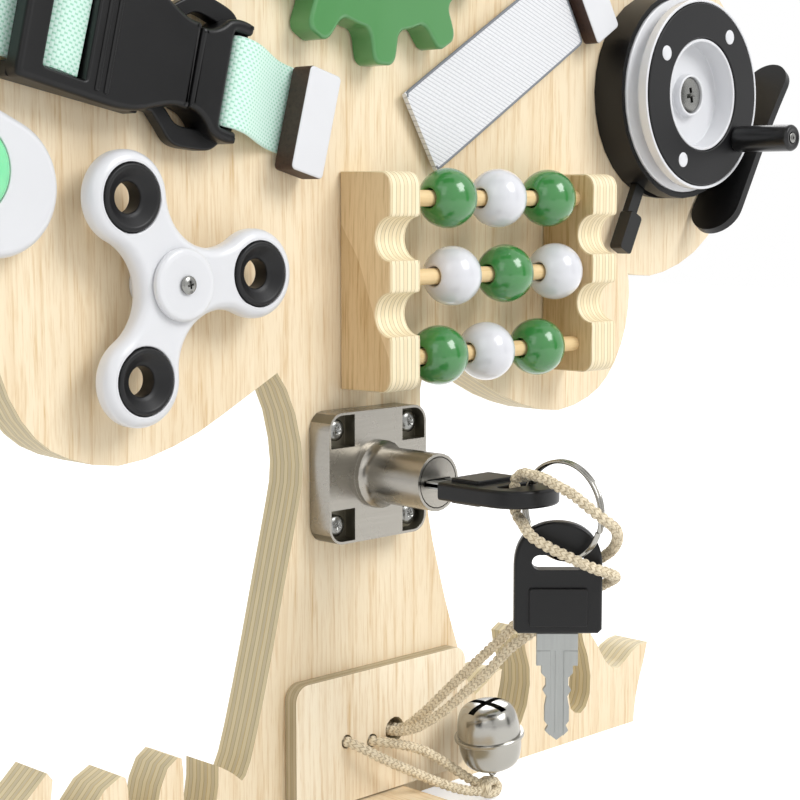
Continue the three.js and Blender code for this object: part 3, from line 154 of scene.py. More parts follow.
def smoothRoute(points, spacing, fine=24):
    # Even points along a centripetal curve through the given ones
    pts = [Vector(p) for p in points]
    pts = [2 * pts[0] - pts[1]] + pts + [2 * pts[-1] - pts[-2]]
    dense = []
    for i in range(1, len(pts) - 2):
        p = pts[i - 1:i + 3]
        t = [0.0]
        for a, b in zip(p, p[1:]):
            t.append(t[-1] + max((b - a).length, 1e-9) ** 0.5)
        for k in range(fine):
            s = t[1] + (t[2] - t[1]) * k / fine
            a = [p[j].lerp(p[j + 1], (s - t[j]) / (t[j + 1] - t[j])) for j in range(3)]
            b = [a[j].lerp(a[j + 1], (s - t[j]) / (t[j + 2] - t[j])) for j in range(2)]
            dense.append(b[0].lerp(b[1], (s - t[1]) / (t[2] - t[1])))
    dense.append(pts[-2])
    total = sum((b - a).length for a, b in zip(dense, dense[1:]))
    count = max(2, round(total / spacing))
    out, walked, i = [dense[0]], 0.0, 0
    for k in range(1, count):
        goal = total * k / count
        while i < len(dense) - 2 and walked + (dense[i + 1] - dense[i]).length < goal:
            walked += (dense[i + 1] - dense[i]).length
            i += 1
        step = (dense[i + 1] - dense[i]).length or 1e-9
        out.append(dense[i].lerp(dense[i + 1], (goal - walked) / step))
    return out + [dense[-1]]


def curvedThrough(points):
    return [(p.x, p.z) for p in smoothRoute([(x, 0, z) for x, z in points], 1.0)]


# Meshes
def place(x, z, angle=0.0):
    # Frame in the board's plane, turned by degrees
    c, s = math.cos(math.radians(angle)), math.sin(math.radians(angle))
    return Matrix(((c, 0, -s, x), (0, 1, 0, 0), (s, 0, c, z), (0, 0, 0, 1)))


def reworked(piece, *steps):
    work = bmesh.new()
    work.from_mesh(piece.data)
    for step in steps:
        step(work)
    work.to_mesh(piece.data)
    work.free()
    return piece


def outward(piece, merge=0.00001):
    # Doubles merged, within metres, and faces turned outwards
    return reworked(piece, lambda work: bmesh.ops.remove_doubles(work, verts=work.verts, dist=merge),
                    lambda work: bmesh.ops.recalc_face_normals(work, faces=work.faces))


def pieceFrom(name, mesh, matrix):
    # Piece in metres from a mesh in mm
    if matrix:
        mesh.transform(matrix)
    mesh.transform(Matrix.Scale(mm, 4))
    return outward(added(name, mesh))


def newPiece(name, verts, faces, matrix=None, faceUvs=None):
    mesh = bpy.data.meshes.new(name)
    mesh.from_pydata([Vector(v) for v in verts], [], faces)
    if faceUvs:
        layer = mesh.uv_layers.new(name="UVMap")
        for spot, uv in zip(layer.data, [uv for face in faceUvs for uv in face]):
            spot.uv = uv
    return pieceFrom(name, mesh, matrix)


def smoothShade(piece, angle=35.0):
    mesh = piece.data
    mesh.polygons.foreach_set("use_smooth", [True] * len(mesh.polygons))
    mesh.set_sharp_from_angle(angle=math.radians(angle))
    mesh.update()
    return piece


def modify(piece, kind, **settings):
    modifier = piece.modifiers.new(kind, kind)
    for key, value in settings.items():
        setattr(modifier, key, value)


def settle(piece):
    # Applies the piece's modifiers to its mesh
    graph = bpy.context.evaluated_depsgraph_get()
    mesh = bpy.data.meshes.new_from_object(piece.evaluated_get(graph))
    piece.modifiers.clear()
    piece.data = mesh
    return piece


def weightedNormals(piece, angle=35.0):
    modify(smoothShade(piece, angle), "WEIGHTED_NORMAL", keep_sharp=True, weight=60)
    return settle(piece)


def dress(piece, finish, *cadNodes, body=None):
    piece.data.materials.clear()
    piece.data.materials.append(materials[finish])
    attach(piece, body or bodyOf[cadNodes[0]])
    if cadNodes:
        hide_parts(*cadNodes)
    return piece


def softened(node, finish, width, angle=35.0, segments=3, flatTurn=0.6):
    # A merged copy of a CAD node with its edges rounded
    piece = added(node + "_finished", frame["nodes"][node].data.copy())
    piece.data.materials.clear()
    outward(piece, 0.00002)
    reworked(piece, lambda work: bmesh.ops.dissolve_limit(
        work, angle_limit=math.radians(flatTurn), verts=work.verts, edges=work.edges))
    modify(piece, "BEVEL", width=width * mm, segments=segments, limit_method="ANGLE",
           angle_limit=math.radians(angle), use_clamp_overlap=True, harden_normals=False)
    return dress(weightedNormals(settle(piece)), finish, node)


def boxOf(node):
    return [[c / mm for c in corner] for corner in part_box(node)]


def centreOf(node):
    return [(a + b) / 2 for a, b in zip(*boxOf(node))]


def axisOf(node):
    # A CAD node's centre, brought to the front face's plane
    x, y, z = centreOf(node)
    return x, 0, z


def facesBetween(rings, sides, closed):
    # Ring, side, next side and corners of each face between neighbouring rings
    for i in range(rings if closed else rings - 1):
        a, b = i * sides, (i + 1) % rings * sides
        for k in range(sides):
            m = (k + 1) % sides
            yield i, k, m, (a + k, a + m, b + m, b + k)


def lathe(name, profile, centre=(0, 0, 0), segments=64, matrix=None, alongX=False):
    # Round piece from [radius, along] points, closed by itself or on its axis, along Y unless along X
    verts = []
    for turn in spread(0, 2 * math.pi, segments)[:-1]:
        for radius, along in profile:
            a, b = radius * math.cos(turn), radius * math.sin(turn)
            spot = (along, a, b) if alongX else (a, along, b)
            verts.append([p + q for p, q in zip(spot, centre)])
    faces = [face for i, k, m, face in facesBetween(segments, len(profile), True)
             if profile[k][0] > 0 or profile[m][0] > 0]
    return reworked(newPiece(name, verts, faces, matrix),
                    lambda work: bmesh.ops.dissolve_degenerate(work, edges=work.edges, dist=1e-7))


def roundedPlate(name, outer, holes, front, back, frontRound, backRound, matrix=None, steps=5):
    # Plate between two faces from fine outlines in X and Z, its outer edges rounded
    work = bmesh.new()
    faceEdges = [], []

    def wall(points, rims):
        loops = []
        for distance, y in rims:
            loops.append([])
            for i, (x, z) in enumerate(points):
                (x0, z0), (x1, z1) = points[i - 1], points[(i + 1) % len(points)]
                share = distance / (math.hypot(x1 - x0, z1 - z0) or 1)
                loops[-1].append(work.verts.new((x - share * (z1 - z0), y, z + share * (x1 - x0))))
        for one, two in zip(loops, loops[1:]):
            for i in range(len(one)):
                k = (i + 1) % len(one)
                work.faces.new((one[i], one[k], two[k], two[i]))
        for edges, loop in zip(faceEdges, (loops[0], loops[-1])):
            edges += [work.edges.get((loop[i - 1], loop[i])) for i in range(len(loop))]

    curve = [(1 - math.sin(t), 1 - math.cos(t)) for t in spread(0, math.pi / 2, steps)]
    wall(outer, [(frontRound * a, front + frontRound * b) for a, b in curve]
         + [(backRound * b, back - backRound * a) for a, b in curve])
    for hole, rim in holes:
        wall(hole, [(-rim * a, front + rim * b) for a, b in curve] + [(0, back)])
    for edges in faceEdges:
        bmesh.ops.triangle_fill(work, edges=edges, use_beauty=True, use_dissolve=False)
    mesh = bpy.data.meshes.new(name)
    work.to_mesh(mesh)
    work.free()
    return pieceFrom(name, mesh, matrix)


def sweep(name, route, sides, radius, closed=False, matrix=None):
    # Tube along even points; its radius is a number, or found from along and round
    count = len(route)
    tangents = [(route[(i + 1) % count if closed else min(i + 1, count - 1)]
                 - route[(i - 1) % count if closed else max(i - 1, 0)]).normalized() for i in range(count)]
    normal = tangents[0].orthogonal().normalized()
    verts, faces, faceUvs, reached = [], [], [], [0.0]
    for i, point in enumerate(route):
        if i:
            normal = (tangents[i - 1].rotation_difference(tangents[i])) @ normal
            reached.append(reached[-1] + (point - route[i - 1]).length)
        side = tangents[i].cross(normal)
        for turn in spread(0, 2 * math.pi, sides)[:-1]:
            r = radius(reached[-1], turn) if callable(radius) else radius
            verts.append(point + r * (math.cos(turn) * normal + math.sin(turn) * side))
    reached.append(reached[-1] + (route[0] - route[-1]).length)
    for i, k, m, face in facesBetween(count, sides, closed):
        faces.append(face)
        faceUvs.append(rect(k / sides, reached[i], (k + 1) / sides, reached[i + 1]))
    if not closed:
        for first, v in ((0, 0.0), ((count - 1) * sides, reached[-2])):
            faces.append(tuple(range(first, first + sides)))
            faceUvs.append([(k / sides, v) for k in range(sides)])
    return smoothShade(newPiece(name, verts, faces, matrix, faceUvs), 60)


def joined(name, parts):
    # Several pieces made one
    work = bmesh.new()
    for part in parts:
        work.from_mesh(part.data)
    mesh = bpy.data.meshes.new(name)
    work.to_mesh(mesh)
    work.free()
    for part in parts:
        bpy.data.objects.remove(part)
    return added(name, mesh)


def wedge(name, levels, matrix=None):
    # Four-sided block from two levels, each a depth and two half sizes
    verts = [(x * wide, y, z * tall) for y, wide, tall in levels for x, z in rect(-1, -1, 1, 1)]
    sides = [(k, (k + 1) % 4, (k + 1) % 4 + 4, k + 4) for k in range(4)]
    return newPiece(name, verts, [(0, 1, 2, 3), (4, 5, 6, 7)] + sides, matrix)


def cutAway(piece, tools):
    for tool in tools:
        modify(piece, "BOOLEAN", object=tool, operation="DIFFERENCE", solver="EXACT")
    settle(piece)
    for tool in tools:
        bpy.data.objects.remove(tool)
    return piece


# Materials
colours = {
    "birch": "F4E3C4", "panelBirch": "FBEDD2", "birchLate": "D2AE78", "sideGrain": "E2C89D",
    # panelEdge: the panel's ply edge darkened, painted shade along the panel's edge
    "sideLate": "B18F5C", "plyPale": "DDCEA8", "plyGrey": "B9AC90", "panelEdge": "978868",
    "facePale": "F5E6C4", "faceGrey": "E2D1A8", "glue": "96834F", "glueYellow": "C4A148", "dowel": "EBCF9D",
    "dowelLate": "D2AE74", "greenPaint": "3B8341", "greenPlastic": "4E8D50", "white": "DCDDE0",
    "whiteBead": "DADBE0", "black": "0F0F10", "blackSoft": "0D0D0C", "ringBlack": "0F0F11",
    # pocket: a darker nickel, painted shade in the lock's screw pockets
    "nickel": "A29E96", "steel": "8E8E8B", "blade": "9EA09E", "pocket": "7A766A", "chrome": "A5A39D",
    "mint": "D9F6EA", "mintThread": "86CDAE", "ribbon": "E3E4E7", "ribbonShade": "A2A5AC",
    "weltShade": "7D8187", "walnut": "3B2418", "walnutLate": "22130C", "rope": "F3E5C8",
    "ropeShade": "AE966C", "lens": "7CDFA2", "mintPlastic": "97DCC0", "circuit": "2F7A45",
}
materials = {}


def colour(name):
    # Linear colour of a written sRGB one
    raw = [int(colours[name][i:i + 2], 16) / 255 for i in (0, 2, 4)]
    return tuple(c / 12.92 if c <= 0.04045 else ((c + 0.055) / 1.055) ** 2.4 for c in raw) + (1.0,)


def reckon(operation):
    return lambda one, other=0.0: one.net.math(operation, one, other)


class Value:
    # A node's output to reckon with: each sign adds a math node
    __add__, __sub__, __mul__ = reckon("ADD"), reckon("SUBTRACT"), reckon("MULTIPLY")
    __truediv__, __abs__ = reckon("DIVIDE"), reckon("ABSOLUTE")

    def __init__(self, net, socket):
        self.net, self.socket = net, socket

    def __rsub__(self, other):
        return self.net.math("SUBTRACT", other, self)


class Net:
    # Adds nodes to a tree and links them by name
    def __init__(self, tree):
        self.tree = tree

    def feed(self, node, inputs):
        for key, value in inputs.items():
            if isinstance(value, Value):
                self.tree.links.new(value.socket, node.inputs[key])
            else:
                node.inputs[key].default_value = value
        return node

    def add(self, kind, inputs, **settings):
        node = self.tree.nodes.new(kind)
        for key, value in settings.items():
            setattr(node, key, value)
        return self.feed(node, inputs)

    def out(self, kind, inputs, which=0, **settings):
        return Value(self, self.add(kind, inputs, **settings).outputs[which])

    def outs(self, kind, inputs, **settings):
        return {socket.name: Value(self, socket) for socket in self.add(kind, inputs, **settings).outputs}

    def math(self, operation, a, b=0.0, clamp=False):
        return self.out("ShaderNodeMath", {0: a, 1: b}, operation=operation, use_clamp=clamp)

    def mix(self, factor, a, b):
        return self.out("ShaderNodeMix", {0: factor, 6: a, 7: b}, 2, data_type="RGBA")

    def ramp(self, value, low, high, start=0.0, end=1.0):
        return self.out("ShaderNodeMapRange", {0: value, 1: low, 2: high, 3: start, 4: end})

    def parts(self, vector):
        return list(self.outs("ShaderNodeSeparateXYZ", {0: vector}).values())

    def mapped(self, vector, shift=(0, 0, 0), turn=(0, 0, 0), scale=(1, 1, 1)):
        return self.out("ShaderNodeMapping", {0: vector, 1: shift, 2: turn, 3: scale})

    def noise(self, vector, scale, detail, rough=0.5, which=0):
        # The scale is a number, or three that stretch the vector
        if isinstance(scale, tuple):
            vector, scale = self.mapped(vector, scale=scale), 1.0
        return self.out("ShaderNodeTexNoise",
                        {"Vector": vector, "Scale": scale, "Detail": detail, "Roughness": rough}, which)

    def group(self, name, **inputs):
        return self.outs("ShaderNodeGroup", inputs, node_tree=bpy.data.node_groups[name])


def newTree(name, kind, inputs, outputs):
    # Node group whose sockets are given by kind, or by the number that a float starts from
    tree = bpy.data.node_groups.new(name, kind + "NodeTree")
    for side, sockets in (("INPUT", inputs), ("OUTPUT", outputs)):
        for label, start in sockets.items():
            kindWord = start if isinstance(start, str) else "Float"
            socket = tree.interface.new_socket(name=label, in_out=side, socket_type="NodeSocket" + kindWord)
            if kindWord != start:
                socket.default_value = start
    net = Net(tree)
    return net, net.outs("NodeGroupInput", {})


def makeWoodFigure():
    # Long grain along Z of the vector given, in metres
    net, given = newTree("woodFigure", "Shader",
                         {"Vector": "Vector", "Early": "Color", "Late": "Color", "Figure": 1.0},
                         {"Colour": "Color", "Height": "Float", "Roughness": "Float"})
    warp = net.noise(given["Vector"], (14, 14, 3), 2.0, which="Color")
    sway = net.out("ShaderNodeVectorMath", {0: warp, 3: 0.012}, operation="SCALE")
    bent = net.out("ShaderNodeVectorMath", {0: given["Vector"], 1: sway}, operation="ADD")
    broad = net.noise(bent, (38, 38, 2.6), 3.0, 0.55)
    lines = net.noise(bent, (1000, 1000, 46), 4.0, 0.6)
    pores = net.noise(bent, (2600, 2600, 130), 2.0)
    wave = net.out("ShaderNodeTexWave", {
        "Vector": net.mapped(bent, scale=(30, 8, 3.2)), "Scale": 1.1, "Distortion": 5.0, "Detail": 2.0,
        "Detail Scale": 1.2}, "Fac", bands_direction="X", wave_profile="SAW")
    dark = net.ramp(broad, 0.42, 0.72) * given["Figure"]
    streak = net.ramp(lines, 0.5, 0.7)
    line = net.ramp(wave, 0.7, 1.0) * (given["Figure"] * 0.24)
    pore = net.ramp(pores, 0.56, 0.74)
    total = net.math("ADD", dark * 0.2 + streak * 0.52, line + pore * 0.3, clamp=True)
    net.add("NodeGroupOutput", {
        "Colour": net.mix(total, given["Early"], given["Late"]), "Height": 1.0 - (streak + pore) * 0.5,
        "Roughness": net.ramp(lines, 0.3, 0.8, 0.5, 0.66)})


def makePlyEdge():
    # Layers across a depth in metres
    net, given = newTree("plyEdge", "Shader",
                         {"Depth": 0.0, "Vector": "Vector", "Ply": 0.0021, "Pale": "Color", "Grey": "Color",
                          "Glue": "Color", "Yellow": "Color"}, {"Colour": "Color", "Height": "Float"})
    wander = net.noise(given["Vector"], 60.0, 1.0)
    layer = (given["Depth"] + (wander - 0.5) * 0.0005) / given["Ply"]
    index = net.math("FLOOR", layer)
    even = abs(net.math("MODULO", index, 2.0))
    shade = net.out("ShaderNodeTexWhiteNoise", {"W": index}, "Value", noise_dimensions="1D")
    fibre = net.noise(given["Vector"], (250, 900, 120), 3.0)
    tone = net.math("ADD", even * 0.5, (fibre - 0.5) * 0.7, clamp=True)
    glue = net.ramp(abs(layer - index - 0.5), 0.41, 0.47)
    glueColour = net.mix(net.math("GREATER_THAN", shade, 0.6), given["Glue"], given["Yellow"])
    net.add("NodeGroupOutput", {
        "Colour": net.mix(glue * 0.75, net.mix(tone, given["Pale"], given["Grey"]), glueColour),
        "Height": fibre - glue * 0.5})


def makeHandling():
    # Soft smudges and fine specks that change a finish a little
    net, given = newTree("handling", "Shader",
                         {"Vector": "Vector", "Base": "Color", "Roughness": 0.4, "Smudge": 0.1},
                         {"Colour": "Color", "Roughness": "Float", "Height": "Float"})
    swing = (net.noise(given["Vector"], 42.0, 4.0, 0.6) - 0.5) * given["Smudge"]
    net.add("NodeGroupOutput", {
        "Colour": net.out("ShaderNodeHueSaturation", {"Color": given["Base"], "Value": swing + 1.0}),
        "Roughness": net.math("ADD", given["Roughness"], swing, clamp=True),
        "Height": net.noise(given["Vector"], 2600.0, 2.0)})


def makeWeave():
    # Rows of small raised threads on a cloth's own map, in mm
    net, given = newTree("weave", "Shader", {"Map": "Vector", "Across": 1.2, "Along": 1.0, "Slant": 0.5},
                         {"Thread": "Float", "Gap": "Float", "Height": "Float"})
    x, y, z = net.parts(given["Map"])
    v = y / given["Along"]
    u = x / given["Across"] + net.math("FLOOR", v) * given["Slant"]
    fu, fv = [abs(net.math("FRACT", count) - 0.5) for count in (u, v)]
    fuzz = net.noise(given["Map"], 3.0, 2.0)
    net.add("NodeGroupOutput", {
        "Thread": net.ramp(fu + fuzz * 0.12, 0.36, 0.5), "Gap": net.ramp(fv, 0.36, 0.5),
        "Height": 1.0 - (fu * fu + fv * fv) + fuzz * 0.3})


def startMaterial(name):
    material = materials[name] = bpy.data.materials.new(name)
    material.use_nodes = True
    material.node_tree.nodes.clear()
    net = Net(material.node_tree)
    shader = net.add("ShaderNodeBsdfPrincipled", {})
    net.add("ShaderNodeOutputMaterial", {0: Value(net, shader.outputs[0])})
    return net, shader


def feedShader(net, shader, **inputs):
    # Inputs by name, with _ for a space
    net.feed(shader, {label.replace("_", " "): value for label, value in inputs.items()})


def finishUp(net, shader, height, strength, distance, **inputs):
    # Inputs and a bump
    bump = net.out("ShaderNodeBump", {"Height": height, "Strength": strength, "Distance": distance})
    feedShader(net, shader, Normal=bump, **inputs)


def woodMaterial(name, early, late, depthAxis=None, ply=0.0017, plies=("plyPale", "plyGrey"), figure=1.0,
                 turn=(0, 0, 0), shift=(0, 0, 0)):
    # Grain on the faces, and plies on the edges where the depth axis says
    net, shader = startMaterial(name)
    coords = net.outs("ShaderNodeTexCoord", {})
    grain = net.group("woodFigure", Vector=net.mapped(coords["Object"], shift, turn), Early=colour(early),
                      Late=colour(late), Figure=figure)
    out, height = grain["Colour"], grain["Height"]
    if depthAxis is not None:
        edge = net.ramp(abs(net.parts(coords["Normal"])[depthAxis]), 0.86, 0.6)
        layers = net.group("plyEdge", Depth=net.parts(coords["Object"])[depthAxis], Vector=coords["Object"],
                           Ply=ply, Pale=colour(plies[0]), Grey=colour(plies[1]), Glue=colour("glue"),
                           Yellow=colour("glueYellow"))
        out = net.mix(edge, out, layers["Colour"])
        height = height * (1.0 - edge) + layers["Height"] * edge
    finishUp(net, shader, height, 0.16, 0.00012, Base_Color=out, Roughness=grain["Roughness"],
             Coat_Weight=0.15, Coat_Roughness=0.45)


def plainMaterial(name, base, rough, smudge=0.06, grit=0.05, metal=0.0, coat=0.0, coatRough=0.08, **fixed):
    net, shader = startMaterial(name)
    spot = net.outs("ShaderNodeTexCoord", {})["Object"]
    marks = net.group("handling", Vector=spot, Base=colour(base), Roughness=rough, Smudge=smudge)
    finishUp(net, shader, marks["Height"], grit, 0.00004, Base_Color=marks["Colour"], Metallic=metal,
             Roughness=marks["Roughness"], Coat_Weight=coat, Coat_Roughness=coatRough, **fixed)


def brushedMaterial(name, base, rough, stretch, strength):
    # Metal with fine lines across the stretch
    net, shader = startMaterial(name)
    spot = net.outs("ShaderNodeTexCoord", {})["Object"]
    lines = net.noise(spot, stretch, 3.0, 0.6)
    marks = net.group("handling", Vector=spot, Base=colour(base), Roughness=rough, Smudge=0.12)
    darker = net.out("ShaderNodeHueSaturation", {"Color": marks["Colour"], "Value": 0.93})
    finishUp(net, shader, lines, strength, 0.00005, Roughness=marks["Roughness"], Metallic=1.0,
             Base_Color=net.mix(net.ramp(lines, 0.35, 0.65), marks["Colour"], darker))


def paintedBlock(name):
    # Dark stained sides under a white face towards the front
    net, shader = startMaterial(name)
    coords = net.outs("ShaderNodeTexCoord", {})
    top = net.ramp(net.parts(coords["Normal"])[1] * -1.0, 0.45, 0.62)
    grain = net.group("woodFigure", Vector=net.mapped(coords["Object"], turn=(0, math.radians(75), 0)),
                      Early=colour("walnut"), Late=colour("walnutLate"), Figure=1.0)
    marks = net.group("handling", Vector=coords["Object"], Base=colour("white"), Roughness=0.42, Smudge=0.05)
    finishUp(net, shader, grain["Height"], 0.06, 0.0001,
             Base_Color=net.mix(top, grain["Colour"], marks["Colour"]),
             Roughness=grain["Roughness"] * (1.0 - top) + marks["Roughness"] * top)


def clothMaterial(name, base, shade, across, along, slant, thread, gap, turn, bump, depth, rough, sheen):
    # Rows of threads on the slant, darker between the threads and in the gaps of the rows
    net, shader = startMaterial(name)
    spot = net.mapped(net.out("ShaderNodeUVMap", {}, uv_map="UVMap"), turn=(0, 0, turn))
    rows = net.group("weave", Map=spot, Across=across, Along=along, Slant=slant)
    out = net.mix(rows["Thread"] * thread, colour(base), colour(shade))
    finishUp(net, shader, rows["Height"], bump, depth, Roughness=rough, Sheen_Weight=sheen,
             Sheen_Roughness=0.5, Base_Color=net.mix(rows["Gap"] * gap, out, colour(shade)))


def ropeMaterial(name):
    # Braided cotton on the cord's own map: round, and along in mm
    net, shader = startMaterial(name)
    x, y, z = net.parts(net.out("ShaderNodeUVMap", {}, uv_map="UVMap"))
    side = abs(net.math("FRACT", x * 6.0) - 0.5)
    chevron = net.math("FRACT", y / 1.7 + side * 1.3)
    valley = net.ramp(abs(chevron - 0.5), 0.28, 0.5)
    seam = net.ramp(abs(side - 0.25), 0.2, 0.25)
    fuzz = net.noise(net.outs("ShaderNodeTexCoord", {})["Object"], 1400.0, 2.0)
    shadow = net.math("MAXIMUM", valley * 0.8, seam * 0.5)
    dark = net.math("ADD", shadow, (fuzz - 0.5) * 0.5, clamp=True)
    finishUp(net, shader, 1.0 - shadow + fuzz * 0.3, 0.7, 0.0004, Roughness=0.92, Sheen_Weight=0.2,
             Sheen_Roughness=0.5, Base_Color=net.mix(dark, colour("rope"), colour("ropeShade")))


def makeMaterials():
    makeWoodFigure()
    makePlyEdge()
    makeHandling()
    makeWeave()
    woodMaterial("boardWood", "birch", "birchLate", 1, 0.00167)
    # The panel's plies take darker colours than the board's: painted shade on the panel's edge
    woodMaterial("panelWood", "panelBirch", "birchLate", 1, 0.00125, ("plyGrey", "panelEdge"),
                 shift=(0.31, 0.02, 0.17))
    woodMaterial("footWood", "birch", "birchLate", 2, 0.0012, turn=(math.pi / 2, 0, 0))
    woodMaterial("blockWood", "sideGrain", "sideLate", 0, 0.00163, ("facePale", "faceGrey"), 1.6,
                 shift=(0.13, 0.4, 0.11))
    woodMaterial("dowelWood", "dowel", "dowelLate", figure=0.7, turn=(0, math.pi / 2, 0))
    plainMaterial("greenLacquer", "greenPaint", 0.2, coat=0.6, coatRough=0.06)
    plainMaterial("whiteLacquer", "whiteBead", 0.22, coat=0.6, coatRough=0.06)
    plainMaterial("greenPlastic", "greenPlastic", 0.3, smudge=0.05, coat=0.35, coatRough=0.12)
    plainMaterial("whitePlastic", "white", 0.28, smudge=0.03, coat=0.25, coatRough=0.15)
    plainMaterial("mintPlastic", "mintPlastic", 0.3, smudge=0.03)
    plainMaterial("blackPlastic", "black", 0.36, smudge=0.12, grit=0.1, Specular_IOR_Level=0.32)
    plainMaterial("ringPlastic", "ringBlack", 0.42, smudge=0.1, grit=0.08, Specular_IOR_Level=0.35)
    plainMaterial("leverBlack", "blackSoft", 0.3, smudge=0.12, Specular_IOR_Level=0.4)
    plainMaterial("bearingBlack", "black", 0.3, smudge=0.08, Specular_IOR_Level=0.45)
    brushedMaterial("nickelPlate", "nickel", 0.27, (60, 500, 1600), 0.04)
    brushedMaterial("bladeSteel", "blade", 0.34, (900, 900, 60), 0.08)
    # Darker nickel for the screw pockets: painted shade in the recesses
    plainMaterial("pocketShadeNickel", "pocket", 0.42, smudge=0.3, metal=1.0)
    plainMaterial("weltGrey", "weltShade", 0.8, smudge=0.2, grit=0.3)
    plainMaterial("screwSteel", "steel", 0.26, smudge=0.16, metal=1.0)
    plainMaterial("ringSteel", "chrome", 0.16, smudge=0.1, metal=1.0)
    plainMaterial("bellChrome", "chrome", 0.21, smudge=0.14, metal=1.0)
    plainMaterial("lensGreen", "lens", 0.22, smudge=0.04, coat=0.5, Subsurface_Weight=0.15,
                  Subsurface_Scale=0.002)
    plainMaterial("circuitGreen", "circuit", 0.5)
    paintedBlock("stainedBlock")
    clothMaterial("mintWebbing", "mint", "mintThread", across=1.9, along=0.95, slant=0.5, thread=0.75,
                  gap=0.1, turn=0, bump=0.55, depth=0.0004, rough=0.86, sheen=0.25)
    clothMaterial("whiteRibbon", "ribbon", "ribbonShade", across=1.7, along=1.25, slant=0.3, thread=0.05,
                  gap=0.9, turn=0.66, bump=0.6, depth=0.0005, rough=0.88, sheen=0.3)
    ropeMaterial("braidedCotton")
    print("materials:", len(materials))


makeMaterials()

# Floor, backdrop and lamps, in metres
studio = {
    "floorHalf": 3.0, "floorColour": (0.8, 0.8, 0.8, 1.0), "floorGlow": 0.52, "worldLevel": 0.65, "matt": 0.9,
    "lampAim": (0, 0, 0.2), "cardAim": (0, 0, 0.15), "cardColour": (0.02, 0.02, 0.02, 1),
    "lamps": {  # place, size and power
        "keyLamp": ((0.62, -1.65, 1.5), 1.05, 28), "sideLamp": ((-0.95, -0.35, 0.75), 0.7, 1.5),
        "rimLamp": ((0.7, 0.5, 0.7), 0.5, 3.0),
    },
    "cards": {  # dark cards that only reflections see: place, width, height
        "cardRight": ((0.75, -1.0, 0.35), 0.3, 1.2), "cardLeft": ((-1.1, -0.15, 0.4), 0.45, 1.2),
        "cardAbove": ((-0.25, -0.35, 1.5), 0.9, 0.5), "cardFront": ((-0.55, -1.2, 0.0), 0.3, 0.2),
    },
}


def stagePlane(name, corners, finish):
    mesh = bpy.data.meshes.new(name)
    mesh.from_pydata(corners, [], [(0, 1, 2, 3)])
    mesh.materials.append(materials[finish])
    plane = added(name, mesh)
    return plane


def seenRays(net):
    # 1 for what the camera sees, straight or by reflection
    rays = net.outs("ShaderNodeLightPath", {})
    bounced = net.math("MAXIMUM", rays["Is Glossy Ray"], rays["Is Transmission Ray"])
    return net.math("MAXIMUM", rays["Is Camera Ray"], bounced)


def aimed(spot, aim):
    return (Vector(aim) - Vector(spot)).to_track_quat("-Z", "Y")


def makeStudio():
    net, shader = startMaterial("floorPaper")
    feedShader(net, shader, Base_Color=studio["floorColour"], Roughness=studio["matt"],
               Specular_IOR_Level=0.0, Emission_Color=(1, 1, 1, 1),
               Emission_Strength=seenRays(net) * studio["floorGlow"])
    half = studio["floorHalf"]
    stagePlane("studioFloor", [(x, y, 0) for x, y in rect(-half, -half, half, half)], "floorPaper")
    world = bpy.data.worlds.new("studioWorld")
    bpy.context.scene.world = world
    world.use_nodes = True
    world.node_tree.nodes.clear()
    air = Net(world.node_tree)
    level = seenRays(air) * (1.0 - studio["worldLevel"]) + studio["worldLevel"]
    air.add("ShaderNodeOutputWorld",
            {0: air.out("ShaderNodeBackground", {"Color": (1, 1, 1, 1), "Strength": level})})
    for name, (spot, size, power) in studio["lamps"].items():
        lamp = added(name, bpy.data.lights.new(name, "AREA"))
        lamp.data.size, lamp.data.energy = size, power
        lamp.location = spot
        lamp.rotation_euler = aimed(spot, studio["lampAim"]).to_euler()
    net, shader = startMaterial("cardBlack")
    feedShader(net, shader, Base_Color=studio["cardColour"], Roughness=studio["matt"])
    for name, (spot, width, height) in studio["cards"].items():
        turn = aimed(spot, studio["cardAim"]).to_matrix()
        corners = rect(-width / 2, -height / 2, width / 2, height / 2)
        card = stagePlane(name, [turn @ Vector((x, y, 0)) + Vector(spot) for x, y in corners], "cardBlack")
        card.visible_camera = card.visible_diffuse = card.visible_shadow = card.visible_transmission = False
    print("studio ready")


makeStudio()

# Jingle bell
bellPiece = {
    "place": (36, -20.5, 21), "tilt": 9, "radius": 10.2, "half": 11, "flat": 0.62, "flatPower": 6,
    "domePower": 0.92, "wall": 0.7, "flange": 11.3, "flangeHalf": 0.6, "flangeRound": (0.2, 0.25),
    "fillet": 0.1, "slot": (2.4, 15), "slotTop": -2, "loop": 1.6, "wire": 0.5,
}


